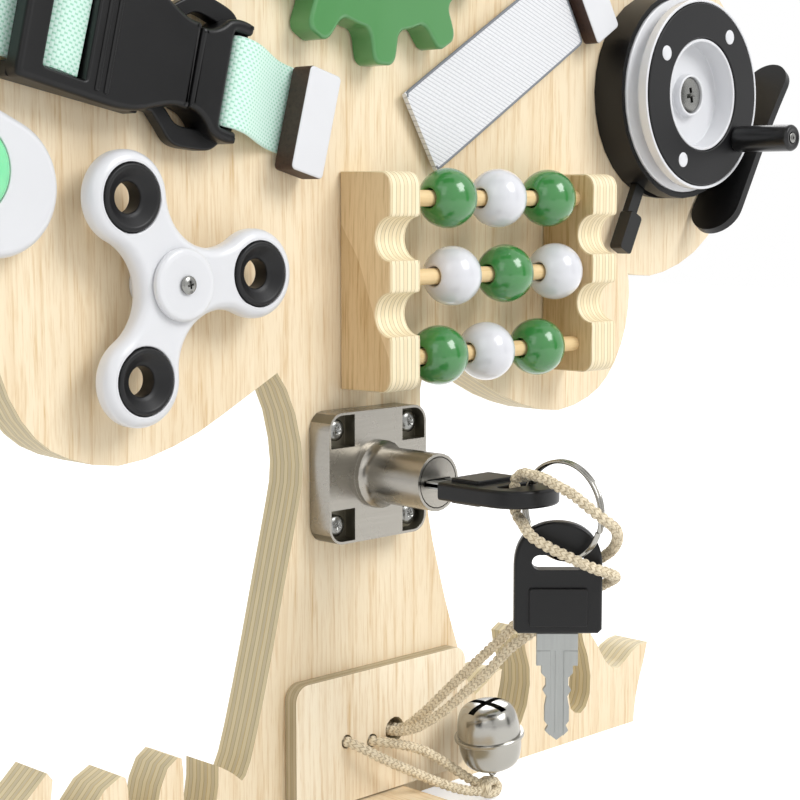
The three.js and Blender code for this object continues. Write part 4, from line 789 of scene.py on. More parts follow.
def makeBell():
    b = bellPiece
    radius, half, wall, rim = b["radius"], b["half"], b["wall"], b["flangeHalf"]
    flat, loop, wire = b["flat"] * radius, b["loop"], b["wire"]

    def dome(side, r, h):
        out = [(max(flat * (1 - s ** b["flatPower"]) + (r - flat) * math.cos(math.pi / 2 * s), 0),
                side * h * math.sin(math.pi / 2 * s) ** b["domePower"]) for s in spread(0, 1, 12)]
        return out[:-1] + [(0, side * h)]

    inward, thinner = b["flangeRound"]
    edge = [(radius + b["fillet"], rim), (b["flange"] - inward, rim), (b["flange"], rim - thinner)]
    outside = dome(-1, radius, half)[::-1] + [(x, -y) for x, y in edge] + edge[::-1] + dome(1, radius, half)
    outside = [(r, y) for r, y in outside if abs(y) >= rim or r > radius]
    inside = dome(1, radius - wall, half - wall)[::-1] + dome(-1, radius - wall, half - wall)
    shell = lathe("bellShell", outside, segments=72)
    tools = [lathe("bellHollow", inside, segments=72)]
    narrow, long = b["slot"][0] / 2, b["slot"][1] / 2
    for wide, tall in ((long, narrow), (narrow, long)):
        tools.append(wedge("bellSlot", [(-half - 2, wide, tall), (b["slotTop"], wide, tall)]))
    cutAway(shell, tools)
    eyeRoute = [Vector((x, y, 0)) for x, y in circle(0, half + loop - wire, loop, 40)]
    whole = joined("bellSpun", [shell, sweep("bellEye", eyeRoute, 12, wire, closed=True)])
    matrix = Matrix.Translation(b["place"]) @ Matrix.Rotation(math.radians(-b["tilt"]), 4, "Y")
    matrix = matrix @ Matrix.Rotation(-math.pi / 2, 4, "X")
    whole.data.transform(Matrix.Scale(mm, 4) @ matrix @ Matrix.Scale(1 / mm, 4))
    print("bell done")
    return dress(weightedNormals(outward(whole)), "bellChrome", "bell_shell")


bell = makeBell()

# Cords, with their routes, knots and diameter in metres
cordage = {
    "diameter": 0.0033, "sides": 20, "step": 0.3, "strands": 2, "relief": 0.374, "pitch": 2.3, "slant": 0.28,
    "keyRoute": [
        (0.0099, 0.018, 0.0255), (0.0099, 0.005, 0.0255), (0.0099, -0.006, 0.0257), (0.0102, -0.014, 0.031),
        (0.0106, -0.027, 0.043), (0.0108, -0.038, 0.053), (0.0109, -0.049, 0.063), (0.0104, -0.058, 0.0716),
        (0.0111, -0.0656, 0.0795), (0.0143, -0.0723, 0.085), (0.0156, -0.0796, 0.0892),
        (0.0142, -0.0859, 0.093), (0.0109, -0.0905, 0.0966), (0.0063, -0.0943, 0.1),
        (0.0014, -0.0968, 0.103), (-0.0027, -0.0958, 0.106), (-0.0045, -0.092, 0.109),
        (-0.0049, -0.087, 0.1118), (-0.005, -0.0815, 0.1136), (-0.0048, -0.077, 0.115),
        (-0.0042, -0.0716, 0.1154), (-0.0032, -0.0676, 0.1152), (-0.0028, -0.0647, 0.1132),
        (-0.0028, -0.0643, 0.1104), (-0.0029, -0.0644, 0.1072), (-0.003, -0.0649, 0.104),
        (-0.0038, -0.067, 0.1022), (-0.0056, -0.0698, 0.1017), (-0.0083, -0.073, 0.101),
        (-0.0098, -0.0772, 0.099), (-0.0075, -0.0818, 0.0962), (-0.004, -0.0868, 0.0934),
        (0.0008, -0.0905, 0.0906), (0.0064, -0.0919, 0.0884), (0.0115, -0.0897, 0.0864),
        (0.0148, -0.0853, 0.0842), (0.0159, -0.079, 0.0808), (0.0149, -0.0722, 0.0762),
        (0.012, -0.0641, 0.069), (0.0083, -0.0536, 0.0604), (0.0078, -0.045, 0.0516),
        (0.0074, -0.035, 0.0426), (0.007, -0.025, 0.0342), (0.0064, -0.014, 0.0276),
        (0.0061, -0.006, 0.0257), (0.0061, 0.005, 0.0255), (0.0061, 0.018, 0.0255),
    ],
    "bellLeft": [
        (-0.013, 0.018, 0.026), (-0.013, 0.005, 0.026), (-0.013, -0.006, 0.026), (-0.0114, -0.0096, 0.0248),
        (-0.004, -0.0124, 0.02), (0.006, -0.0146, 0.0144), (0.016, -0.017, 0.009), (0.025, -0.0194, 0.005),
        (0.032, -0.0207, 0.0032),
    ],
    "bellRight": [
        (-0.002, 0.018, 0.024), (-0.002, 0.005, 0.024), (-0.002, -0.006, 0.024), (0.0004, -0.0086, 0.0236),
        (0.007, -0.0096, 0.0216), (0.0145, -0.011, 0.0186), (0.022, -0.0134, 0.0136),
        (0.028, -0.0164, 0.0086), (0.0332, -0.0193, 0.0046),
    ],
    # Knots: node, centre, half sizes, turns and seed
    "bellKnot": ("bell_cord", (0.036, -0.0205, 0.0037), (0.0051, 0.0049, 0.0035), 4, 3),
    "rearKnots": {
        "rearKnot1": ("bell_cord", (-0.013, 0.0178, 0.026), (0.0038, 0.0025, 0.0038), 3, 11),
        "rearKnot2": ("bell_cord", (-0.002, 0.0178, 0.024), (0.0038, 0.0025, 0.0038), 3, 12),
        "rearKnot3": ("key_cord", (0.008, 0.0178, 0.0255), (0.0058, 0.0025, 0.0058), 3, 13),
    },
    "knot": {"points": 64, "sides": 14, "wire": 0.92, "relief": 0.12, "sway": 0.2, "tilts": (58, 78)},
}


def braidRadius(along, turn):
    # Plaited strands stand proud in a chevron round the cord
    side = abs(((turn / (2 * math.pi)) * cordage["strands"]) % 1.0 - 0.5) * 2
    bump = abs(math.sin(math.pi * (along / cordage["pitch"] + cordage["slant"] * side)))
    return cordage["diameter"] / 2 / mm * (1 - cordage["relief"] * (1 - bump) ** 1.5)


def layCord(name, route, node, farEnd, **extra):
    points = smoothRoute([Vector(p) / mm for p in route], cordage["step"])
    strand = dress(sweep(name, points, cordage["sides"], braidRadius), "braidedCotton", node)
    path = [p * mm for p in points]
    length = sum((b - a).length for a, b in zip(path, path[1:]))


def layKnot(name, node, centre, size, turns, seed):
    # A few crossing wraps of the cord, drawn tight round a core and pressed flat
    knot = cordage["knot"]
    chance = random.Random(seed)
    wire = cordage["diameter"] / 2 / mm * knot["wire"]

    def wrapRadius(along, turn):
        twist = along / cordage["pitch"] + turn / math.pi
        return wire * (1 - knot["relief"] * abs(math.sin(math.pi * twist)))

    parts = []
    for k in range(turns):
        spin = Matrix.Rotation(math.pi * k / turns + chance.uniform(-knot["sway"], knot["sway"]), 4, "Y")
        tilt = spin @ Matrix.Rotation(math.radians(knot["tilts"][k % 2]), 4, "X")
        loop = []
        for x, y in circle(0, 0, 1, knot["points"]):
            spot = tilt @ Vector((x, y, 0))
            reach = Vector([along * (half / mm - wire) for along, half in zip(spot, size)])
            loop.append(Vector(centre) / mm + reach)
        parts.append(sweep(name + str(k), loop, knot["sides"], wrapRadius, closed=True))
    return dress(joined(name, parts), "braidedCotton", node)


def layCords():
    layCord("keyCord", cordage["keyRoute"], "key_cord", "object")
    hanging = [layKnot("bellKnot", *cordage["bellKnot"]), bell, frame["nodes"]["bell_ball"]]
    layCord("bellCordLeft", cordage["bellLeft"], "bell_cord", "knot", with_pieces=hanging)
    layCord("bellCordRight", cordage["bellRight"], "bell_cord", "knot")
    for name, knot in cordage["rearKnots"].items():
        layKnot(name, *knot)
    print("cords laid")


layCords()

# Plywood parts
plywood = {"boardEdge": 0.7, "footEdge": 0.8, "panelEdge": 0.7, "blockEdge": 0.8, "blockCorner": 4.5,
           "notchRadius": 6.5, "notches": (46, 23.4), "notchSides": 24, "lip": ((0, 1.2), (0.25, 0.35))}


def makeAbacusBlock(node):
    low, high = boxOf(node)
    back, front, bottom, top = high[1], low[1], low[2], high[2]
    r, n, edge, sides = [plywood[key] for key in ("blockCorner", "notchRadius", "blockEdge", "notchSides")]
    step = math.pi / sides
    outline = [(back, bottom), (back, top)] + arc(front + r, top - r, r, math.pi / 2, math.pi, 8)
    for middle in [bottom + lift for lift in plywood["notches"]]:
        start = math.pi / 2 - 0.8 * step
        outline += [(front + deep, middle + n + away) for deep, away in plywood["lip"]]
        outline += arc(front, middle, n, start, start - (sides - 1) * step, sides - 1)
        outline += [(front + deep, middle - n - away) for deep, away in plywood["lip"][::-1]]
    outline += arc(front + r, bottom + r, r, math.pi, 1.5 * math.pi, 8)
    upright = Matrix(((0, 1, 0, 0), (1, 0, 0, 0), (0, 0, 1, 0), (0, 0, 0, 1)))
    block = roundedPlate(node + "_cut", outline, [], low[0], high[0], edge, edge, upright, 4)
    dress(weightedNormals(block, 40), "blockWood", node)


def makeWoodParts():
    softened("tree_board", "boardWood", plywood["boardEdge"], 40)
    softened("cross_foot", "footWood", plywood["footEdge"])
    softened("cord_panel", "panelWood", plywood["panelEdge"])
    makeAbacusBlock("abacus_left_block")
    makeAbacusBlock("abacus_right_block")
    print("plywood done")


makeWoodParts()

# Abacus rods and beads
abacus = {"rodRadius": 2.5, "rodRound": 0.5, "beadRadius": 9.3, "boreRadius": 3.1, "rimRound": 0.5,
          "rimStep": (0.15, 0.12), "beadFinish": {"green": "greenLacquer", "white": "whiteLacquer"}}


def makeRod(node):
    low, high = boxOf(node)
    half, r, soft = (high[0] - low[0]) / 2, abacus["rodRadius"], abacus["rodRound"]
    profile = [(0, -half), (r - soft, -half)] + [(r, along) for along in spread(soft - half, half - soft, 12)]
    rod = lathe(node + "_turned", profile + [(r - soft, half), (0, half)], centreOf(node), 32, alongX=True)
    dress(smoothShade(rod), "dowelWood", node)


def makeBead(node):
    r, bore, rim = abacus["beadRadius"], abacus["boreRadius"], abacus["rimRound"]
    edge = math.acos((bore + rim) / r)
    half = r * math.sin(edge)
    wider, lower = abacus["rimStep"]
    profile = [(r * math.cos(t), -r * math.sin(t)) for t in spread(edge, -edge, 40)]
    step = [(bore, rim - half), (bore + wider, lower - half)]
    profile += [(across, -along) for across, along in step[::-1]] + step
    bead = lathe(node + "_turned", profile, centreOf(node), alongX=True)
    dress(smoothShade(bead, 50), abacus["beadFinish"][slotOf[node]], node)


for rodNode in ("rod_top", "rod_middle", "rod_bottom"):
    makeRod(rodNode)
for beadNode in [name for name in bodyOf if name.startswith("bead_")]:
    makeBead(beadNode)
print("abacus done")

# Spinner
spinner = {
    "centre": (-82.5, 169.7), "armLength": 28.4, "armAngle": 124.3, "lobeRadius": 12.7, "hollow": 15.41,
    "reach": 27.81, "steps": 18, "front": -14, "back": -7, "rounds": (3.2, 2.2), "seat": 9.5,
    "seatRim": 0.5, "ledge": 6.6, "ledgeDepth": 5.5, "ledgeLap": 0.2, "postHole": 4.0, "bossRadius": 7.5,
    "bossFront": -8, "bossBack": -0.4,
    "ring": [(9.2, -13.9), (8.75, -14.5), (7.9, -14.45), (5.3, -12.4), (4.2, -11.8), (4.2, -6.6), (6.3, -6.6),
             (6.3, -8.8), (9.2, -8.8)],
    "cap": [(1.6, -16.3), (2.4, -16.5), (8, -16.5), (9.3, -16.25), (9.9, -15.7), (10, -15.2), (10, -14.3),
            (3.7, -14.3), (3.7, -0.3), (1.6, -0.3)],
}


def spinnerArms():
    return [math.radians(spinner["armAngle"] - 120 * i) for i in range(3)]


def spinnerOutline():
    points = []
    for arm in spinnerArms():
        between = arm - math.pi / 3
        x, z = spinner["armLength"] * math.cos(arm), spinner["armLength"] * math.sin(arm)
        hx, hz = spinner["reach"] * math.cos(between), spinner["reach"] * math.sin(between)
        entry = math.atan2(hz - z, hx - x)
        leave = entry + 2 * (arm - entry) % (2 * math.pi)
        points += arc(x, z, spinner["lobeRadius"], leave, entry, 2 * spinner["steps"])[:-1]
        start = math.pi + entry
        end = start + 2 * (between - start) % (2 * math.pi)
        points += arc(hx, hz, spinner["hollow"], start, end, spinner["steps"])[:-1]
    return anticlockwise(points)


def makeSpinner():
    s = spinner
    hub = place(*s["centre"])
    front, back, ledge, lap = s["front"], s["back"], s["ledge"], s["seat"] + s["ledgeLap"]
    lobes = [(s["armLength"] * math.cos(arm), s["armLength"] * math.sin(arm)) for arm in spinnerArms()]
    holes = [(circle(x, z, s["seat"], 56), s["seatRim"]) for x, z in lobes]
    holes.append((circle(0, 0, s["postHole"], 32), 0))
    parts = [roundedPlate("spinnerPlate", spinnerOutline(), holes, front, back, *s["rounds"], hub, 7)]
    shelf = rect(ledge, front + s["ledgeDepth"], lap, back)
    parts += [lathe("spinnerLedge", shelf, (x, 0, z), 48, hub) for x, z in lobes]
    boss = rect(s["postHole"], s["bossFront"], s["bossRadius"], s["bossBack"])
    parts.append(lathe("spinnerBoss", roundedProfile(boss, 0.3), segments=48, matrix=hub))
    dress(smoothShade(joined("spinnerMoulding", parts), 40), "whitePlastic", "spinner_body")
    for i, (x, z) in enumerate(lobes):
        ring = lathe("spinnerRing" + str(i + 1), roundedProfile(s["ring"], 0.35), (x, 0, z), matrix=hub)
        dress(smoothShade(ring), "ringPlastic", "spinner_ring_" + str(i + 1))
    cap = lathe("spinnerCapTurned", roundedProfile(s["cap"], 0.3), matrix=hub)
    dress(smoothShade(cap), "whitePlastic", "spinner_cap")
    print("spinner done")


makeSpinner()

# Gears, shaped by a rule for their teeth, in metres
gears = {
    "inputs": {"Per Tooth": 36, "Addendum": 0.0048, "Dedendum": 0.0053, "Thickness": 0.0092, "Front": -0.0096,
               "Front Round": 0.0011, "Back Round": 0.0005, "Bore Radius": 0.0043},
    "toothCurve": [(0, 1), (0.16, 1), (0.3, 0.88), (0.4, 0.54), (0.49, 0.17), (0.68, 0), (1, 0)],
    "wheels": {  # place, teeth, pitch radius, phase, finish
        "large_gear": ((0, 0, 0.288), 12, 0.0505, -90, "greenPlastic"),
        "right_gear": ((0.042385, 0, 0.361413), 8, 0.033667, 262.5, "whitePlastic"),
        "left_gear": ((-0.042385, 0, 0.361413), 8, 0.033667, -37.5, "mintPlastic"),
    },
}


def endTree(net, geometry, finish):
    # Real geometry in its material, at a geometry tree's end
    real = net.out("GeometryNodeRealizeInstances", {0: geometry})
    dressed = net.out("GeometryNodeSetMaterial", {"Geometry": real, "Material": finish})
    net.add("NodeGroupOutput", {0: dressed})
    return net.tree


def makeGearTree():
    net, given = newTree(
        "toothedWheel", "Geometry",
        {"Geometry": "Geometry", "Teeth": "Int", "Per Tooth": "Int", "Pitch Radius": "Float",
         "Addendum": "Float", "Dedendum": "Float", "Phase": "Float", "Thickness": "Float",
         "Front Round": "Float", "Back Round": "Float", "Bore Radius": "Float", "Front": "Float",
         "Place": "Vector", "Finish": "Material"},
        {"Geometry": "Geometry"})
    # Rings of the wheel from the bore's front round to it again: out at the rim, shares of the front and
    # back rounding inwards and in depth, at the back
    levels = [(0, 0, 0, 0, 0, 0)]
    levels += [(1, 1 - math.sin(t), 0, 1 - math.cos(t), 0, 0) for t in spread(0, math.pi / 2, 4)]
    levels += [(1, 0, 1 - math.cos(t), 0, math.sin(t) - 1, 1) for t in spread(0, math.pi / 2, 3)]
    levels += [(0, 0, 0, 0, 0, 1), (0, 0, 0, 0, 0, 0)]
    grid = net.out("GeometryNodeMeshGrid", {
        "Size X": 1.0, "Size Y": 1.0, "Vertices X": given["Teeth"] * given["Per Tooth"] + 1.0,
        "Vertices Y": len(levels)})
    x, y, z = net.parts(net.out("GeometryNodeInputPosition", {}))
    u = x + 0.5
    level = net.math("ROUND", (y + 0.5) * (len(levels) - 1.0))

    def perLevel(values):
        switch = net.add("GeometryNodeIndexSwitch", {}, data_type="FLOAT")
        while len(switch.index_switch_items) < len(levels):
            switch.index_switch_items.new()
        net.feed(switch, {"Index": level, **dict(enumerate(values, 1))})
        return Value(net, switch.outputs[0])

    outer, frontIn, backIn, frontDeep, backDeep, atBack = [perLevel(column) for column in zip(*levels)]
    inset = frontIn * given["Front Round"] + backIn * given["Back Round"]
    depth = frontDeep * given["Front Round"] + atBack * given["Thickness"] + backDeep * given["Back Round"]
    turns = u * given["Teeth"]
    share = abs(turns - net.math("ROUND", turns))
    pitch = given["Pitch Radius"] * (2 * math.pi) / given["Teeth"]
    tooth = net.add("ShaderNodeFloatCurve", {1: (share + inset / pitch) * 2.0})
    curve = tooth.mapping.curves[0]
    for spot in gears["toothCurve"][1:-1]:
        curve.points.new(*spot)
    curve.points[0].location = gears["toothCurve"][0]
    curve.points[-1].location = gears["toothCurve"][-1]
    tooth.mapping.update()
    tip = (given["Addendum"] + given["Dedendum"]) * Value(net, tooth.outputs[0])
    rim = given["Pitch Radius"] - given["Dedendum"] + tip - inset
    radius = rim * outer + given["Bore Radius"] * (1.0 - outer)
    angle = u * (2 * math.pi) + given["Phase"]
    flat = net.out("ShaderNodeCombineXYZ", {0: radius * net.math("COSINE", angle), 1: given["Front"] + depth,
                                            2: radius * net.math("SINE", angle)})
    target = net.out("ShaderNodeVectorMath", {0: flat, 1: given["Place"]}, operation="ADD")
    bent = net.out("GeometryNodeSetPosition", {"Geometry": grid, "Position": target})
    merged = net.out("GeometryNodeMergeByDistance", {"Geometry": bent, "Distance": 0.00001})
    return endTree(net, merged, given["Finish"])


def fromTree(name, tree, values):
    # Plain mesh from a geometry tree with its named inputs set
    piece = added(name, bpy.data.meshes.new(name))
    modifier = piece.modifiers.new(name, "NODES")
    modifier.node_group = tree
    for item in tree.interface.items_tree:
        if item.item_type == "SOCKET" and item.in_out == "INPUT" and item.name in values:
            modifier[item.identifier] = values[item.name]
    return settle(piece)


def makeGears():
    tree = makeGearTree()
    for node, (spot, teeth, pitch, phase, finish) in gears["wheels"].items():
        wheel = fromTree(node + "_toothed", tree, {
            "Teeth": teeth, "Pitch Radius": pitch, "Phase": math.radians(phase), "Place": spot,
            "Finish": materials[finish], **gears["inputs"]})
        dress(weightedNormals(outward(wheel), 50), finish, node)
    print("gears done")


makeGears()

# Gear pins
gearPins = {
    "profile": [(0, -12.15), (3, -12.15), (3.6, -12.5), (6.29, -12.5), (7.65, -12.1), (8.5, -11.2),
                (8.5, -9.9), (4, -9.9), (4, 8), (0, 8)],
    "round": 0.35,
    "finish": {"large_gear_pin": "whitePlastic", "right_gear_pin": "whitePlastic",
               "left_gear_pin": "mintPlastic"},
}
for pinNode, finish in gearPins["finish"].items():
    pin = lathe(pinNode + "_turned", roundedProfile(gearPins["profile"], gearPins["round"]), axisOf(pinNode))
    dress(weightedNormals(pin), finish, pinNode)

# Cross-head screws: head radius, front, head's back, shaft radius, shaft's end, dome, recess
screws = {
    "spinnerScrewHead": (2.5, -18.0, -16.8, 1.5, 9.7, 0.35, 0.6),
    "reelScrewHead": (6.1, boxOf("reel_screw")[0][1], -13.2, 2.3, 9, 0.3, 0.52),
    "crankPinEnd": (1.8, -44.3, -43.0, 1.75, boxOf("crank_pin")[1][1], 0.15, 0.5),
    "lockScrewShape": (3.3, -7.2, -4.58, 1.4, 6, 0.5, 0.55),
}


def crossScrew(name, centre):
    head, front, headBack, shaft, end, dome, recess = screws[name]
    profile = [(0, front), (0.45 * head, front + dome * 0.2), (0.82 * head, front + dome * 0.8),
               (head, front + dome * 2), (head, headBack), (shaft, headBack), (shaft, end), (0, end)]
    reach, half, deep, narrowing = recess * head, 0.13 * head, 0.42 * head, 0.45
    levels = [(front - 1, reach, half), (front + deep, reach * narrowing, half * (0.6 + 0.4 * narrowing))]
    tools = [wedge(name + "Tool", levels, place(centre[0], centre[2], angle)) for angle in (12, 102)]
    return weightedNormals(outward(cutAway(lathe(name, profile, centre, 40), tools)), 40)


dress(crossScrew("spinnerScrewHead", axisOf("spinner_screw")), "screwSteel", "spinner_screw")
dress(crossScrew("reelScrewHead", axisOf("reel_screw")), "screwSteel", "reel_screw")

# Crank reel
reel = {
    "centre": (148, 0, 229.4), "knob": (168.87, 0, 214.24), "housingEdge": 0.5, "leverEdge": 0.45,
    "pegCircle": 25.8, "pegAngles": (54, 149, 243),
    "peg": [(0, -20.95), (1.08, -20.9), (1.944, -20.77), (2.511, -20.53), (2.7, -20.2), (2.7, -18.0),
            (0, -18.0)],
    "spool": [(5.3, -6.5), (8.6, -6.5), (8.6, -8.5), (34.2, -8.5), (34.2, -12.6), (29.6, -13.7),
              (29.6, -15.8), (33.2, -16.7), (33.2, -20.1), (32.1, -20.1), (32.1, -17.9), (19.5, -17.9),
              (19.5, -20.1), (18.4, -20.1), (18.4, -12.3), (7.4, -12.3), (7.4, -15.3), (6.4, -15.3),
              (6.4, -13), (5.3, -13)],
    "faceRing": [(31.8, -18.2), (31.8, -20.15), (31.5, -20.4), (20.1, -20.4), (19.8, -20.15), (19.8, -18.2)],
    "knobProfile": [(2.1, -43.2), (2.1, -43.9), (3.3, -44.2), (4.1, -44.1), (4.7, -43.3), (4.7, -21.4),
                    (4.4, -20.7), (2.1, -20.7)],
}


def makeReel():
    x, y, z = centre = reel["centre"]
    softened("reel_housing", "blackPlastic", reel["housingEdge"], 30)
    softened("reel_lever", "leverBlack", reel["leverEdge"], 30)
    parts = [lathe("spoolBody", roundedProfile(reel["spool"], 0.45), centre, 96)]
    for angle in reel["pegAngles"]:
        dx, dz = [reel["pegCircle"] * part(math.radians(angle)) for part in (math.cos, math.sin)]
        parts.append(lathe("spoolPeg", reel["peg"], (x + dx, 0, z + dz), 32))
    dress(weightedNormals(joined("spoolMoulding", parts)), "whitePlastic", "reel_spool")
    ring = lathe("reelFaceDisc", reel["faceRing"], centre, 96)
    dress(weightedNormals(ring), "ringPlastic", "reel_face_ring")
    knob = lathe("crankHandle", roundedProfile(reel["knobProfile"], 0.3), reel["knob"], 48)
    dress(weightedNormals(knob), "bearingBlack", "crank_knob")
    dress(crossScrew("crankPinEnd", reel["knob"]), "screwSteel", "crank_pin")
    print("reel done")


makeReel()

# Cabinet lock and its screws
lockSet = {"centre": (-2.5, 109), "plate": (41.7, 40), "pocket": 9.8, "pocketDepths": (-8.8, -4.0),
           "rim": 0.8, "bodyEdge": 0.45, "plugEdge": 0.25, "screws": (15.6, 14.6), "screwTurn": 1.5,
           "seed": 5}


def makeScrewTree(template):
    net, given = newTree(
        "screwsAtCorners", "Geometry",
        {"Geometry": "Geometry", "Width": "Float", "Height": "Float", "Place": "Vector", "Seed": "Int",
         "Finish": "Material"}, {"Geometry": "Geometry"})
    grid = net.out("GeometryNodeMeshGrid", {"Size X": given["Width"], "Size Y": given["Height"],
                                            "Vertices X": 2, "Vertices Y": 2})
    stood = net.out("GeometryNodeTransform", {"Geometry": grid, "Rotation": (math.pi / 2, 0, 0),
                                              "Translation": given["Place"]})
    shape = net.out("GeometryNodeObjectInfo", {"Object": template, "As Instance": True}, "Geometry")
    most = lockSet["screwTurn"]
    spin = net.out("FunctionNodeRandomValue", {
        "Min": (0, -most, 0), "Max": (0, most, 0), "Seed": given["Seed"]}, data_type="FLOAT_VECTOR")
    placed = net.out("GeometryNodeInstanceOnPoints", {"Points": stood, "Instance": shape, "Rotation": spin})
    return endTree(net, placed, given["Finish"])


def makeLock():
    body = softened("lock_body", "nickelPlate", lockSet["bodyEdge"], 30)
    body.data.materials.append(materials["pocketShadeNickel"])
    cx, cz = lockSet["centre"]
    x1, z1 = [size / 2 - lockSet["rim"] for size in lockSet["plate"]]
    deep, shallow = lockSet["pocketDepths"]
    # Faces inside the screw pockets take the darker nickel: painted shade in the recesses
    for face in body.data.polygons:
        spot = face.center / mm
        across = [(abs(spot.x - cx), x1), (abs(spot.z - cz), z1)]
        inside = all(edge - lockSet["pocket"] - 0.1 < away < edge + 0.1 for away, edge in across)
        if inside and deep < spot.y < shallow:
            face.material_index = 1
    softened("lock_plug", "nickelPlate", lockSet["plugEdge"], 30, 2)
    template = crossScrew("lockScrewShape", (0, 0, 0))
    wide, tall = [2 * half * mm for half in lockSet["screws"]]
    heads = fromTree("lockScrews", makeScrewTree(template), {
        "Width": wide, "Height": tall, "Place": (cx * mm, 0, cz * mm), "Seed": lockSet["seed"],
        "Finish": materials["screwSteel"]})
    bpy.data.objects.remove(template)
    dress(smoothShade(heads, 40), "screwSteel", body="board")
    print("lock done")


makeLock()

# Keys and their ring
keys = {
    "bowLength": 32, "bowHalf": 12.5, "thickness": 5.2, "arch": 0.4, "archSteps": 14, "edge": 1.0,
    "foot": 1.2, "slot": (5.4, 2.1), "slotFromEnd": 11.5, "label": (16.5, 11, 2.2), "labelProud": 1.1,
    "tang": 4, "shoulder": (5.9, 9.6), "rootEnd": 0.55, "blade": (4.5, 21.8, 1), "channel": 1.9,
    "ridge": 0.55, "core": 0.62,
    "cuts": [(0, 1), (0.1, 1), (0.16, 0.72), (0.27, 0.72), (0.33, 0.9), (0.41, 0.66), (0.55, 0.78),
             (0.74, 0.78), (0.8, 0.56), (0.87, 0.74), (0.92, 0.5)],
    "places": {
        "lock_key": Matrix.Translation((-2.5, -44.4, 109)) @ Matrix.Rotation(-math.pi / 2, 4, "X"),
        "spare_key": Matrix.Translation((0.8574, -77.4716, 70.4))
        @ Matrix.Rotation(math.radians(-45.4), 4, "Z") @ Matrix.Rotation(math.pi, 4, "X"),
    },
    "ring": {"centre": (1.7, -78.326, 105.4), "radius": 13.9, "wire": 0.6, "apart": 0.59, "sides": 14,
             "start": 200, "crossing": (0.44, 0.12), "points": 240},
}


def keyPart(name, plates, finish, node, matrix, steps):
    # Plates through one middle plane made one: name, outline, holes, half thickness and edge
    parts = [roundedPlate(plate, outline, holes, -half, half, edge, edge, matrix, steps)
             for plate, outline, holes, half, edge in plates]
    dress(weightedNormals(joined(name, parts), 40), finish, node)


def makeBow(body, matrix):
    half, length, foot = keys["bowHalf"], keys["bowLength"], keys["foot"]
    straight = -length * (1 - keys["arch"])
    left = ((-half, straight), (-half, -length * 0.88), (-half * 0.55, -length), (0, -length))
    outline = bezier(*left, keys["archSteps"]) + bezier(*[(-x, z) for x, z in left[::-1]], keys["archSteps"])
    outline += [(half, straight), (half, -foot), (half - foot, 0), (-half + foot, 0), (-half, -foot)]
    slot = stadium(0, keys["slotFromEnd"] - length, *keys["slot"], 10)
    deep = keys["thickness"] / 2
    wide, tall, fromEnd = keys["label"]
    label = roundedCorners(rect(-wide / 2, -fromEnd - tall, wide / 2, -fromEnd), 0.9)
    plates = [("bowPlate", outline, [(slot, 0.5)], deep, keys["edge"]),
              ("bowLabel", label, [], deep + keys["labelProud"], 0.35)]
    keyPart(body + "Bow", plates, "blackPlastic", body + "_bow", matrix, 5)


def makeBlade(body, matrix):
    (width, shoulder), (half, long, face) = keys["shoulder"], keys["blade"]
    channel, ridge, tang, tip, rootEnd = keys["channel"], keys["ridge"], keys["tang"], shoulder + long, 0.3
    railStart = shoulder * keys["rootEnd"]
    side = [(half * out, shoulder + along * long) for along, out in keys["cuts"]]
    right = [(tang, -6), (tang, rootEnd), (width, rootEnd), (width, shoulder)] + side
    whole = [(-tang, -6)] + right + [(0, tip)] + [(-x, z) for x, z in right[:0:-1]]
    rail = [(channel, railStart), (width, railStart), (width, shoulder)] + side
    rail.append((channel, side[-1][1] + 0.3))
    plates = [
        ("bladeCore", whole, [], keys["core"], 0.1), ("bladeRail", rail, [], face, 0.14),
        ("bladeRail", [(-x, z) for x, z in rail[::-1]], [], face, 0.14),
        ("bladeRoot", rect(-width, rootEnd, width, railStart), [], face, 0.14),
        ("bladeRidge", rect(-ridge, shoulder * 0.5, ridge, tip - 2.2), [], face * 0.86, 0.1)]
    keyPart(body + "BladeCut", plates, "bladeSteel", body + "_blade", matrix, 2)


def makeRing():
    # Two turns of wire side by side, with a smooth crossing halfway
    data = keys["ring"]
    (cx, cy, cz), r, (start, length) = data["centre"], data["radius"], data["crossing"]
    route = []
    for along in spread(0, 1, data["points"]):
        turn = 4 * math.pi * along + math.radians(data["start"])
        share = min(max((along - start) / length, 0), 1)
        shift = data["apart"] * (2 * share * share * (3 - 2 * share) - 1)
        route.append(Vector((cx + shift, cy + r * math.cos(turn), cz + r * math.sin(turn))))
    dress(sweep("splitRing", route, data["sides"], data["wire"]), "ringSteel", "key_ring")


for keyBody, keyPlace in keys["places"].items():
    makeBow(keyBody, keyPlace)
    makeBlade(keyBody, keyPlace)
makeRing()
print("keys done")

# Straps, webbing and the buckle
strapWork = {
    "webFrame": place(-28.7, 214.8, -15), "buckleTurn": place(-100, 0, 1.5) @ place(100, 0), "web": (26, 1.4),
    "left": [(-155, -1), (-141, -1), (-115, -3.6), (-97.5, -3.6), (-90.5, -8), (-82.6, -8)],
    "right": [(5, -1), (-9, -1), (-27.8, -10.6), (-32.8, -10.6), (-34.5, -9), (-34.5, -1.6)],
    "blend": (-6, -27), "loopFrame": place(101, 262, 31.5), "hook": (24, 1.2), "loop": (27.8, 1.8),
    "hookPath": [(-84, -0.9), (-40, -0.9), (6.4, -0.9)], "loopPath": [(-93, -2.7), (-50, -2.7), (-8.9, -2.7)],
    "welt": {"inset": 0.35, "ends": (-93, -9), "level": -3.35, "corner": 1.2, "step": 1.2, "radius": 0.5},
    "blockEdge": 0.7, "step": 0.8, "across": 26, "soft": 0.7,
}


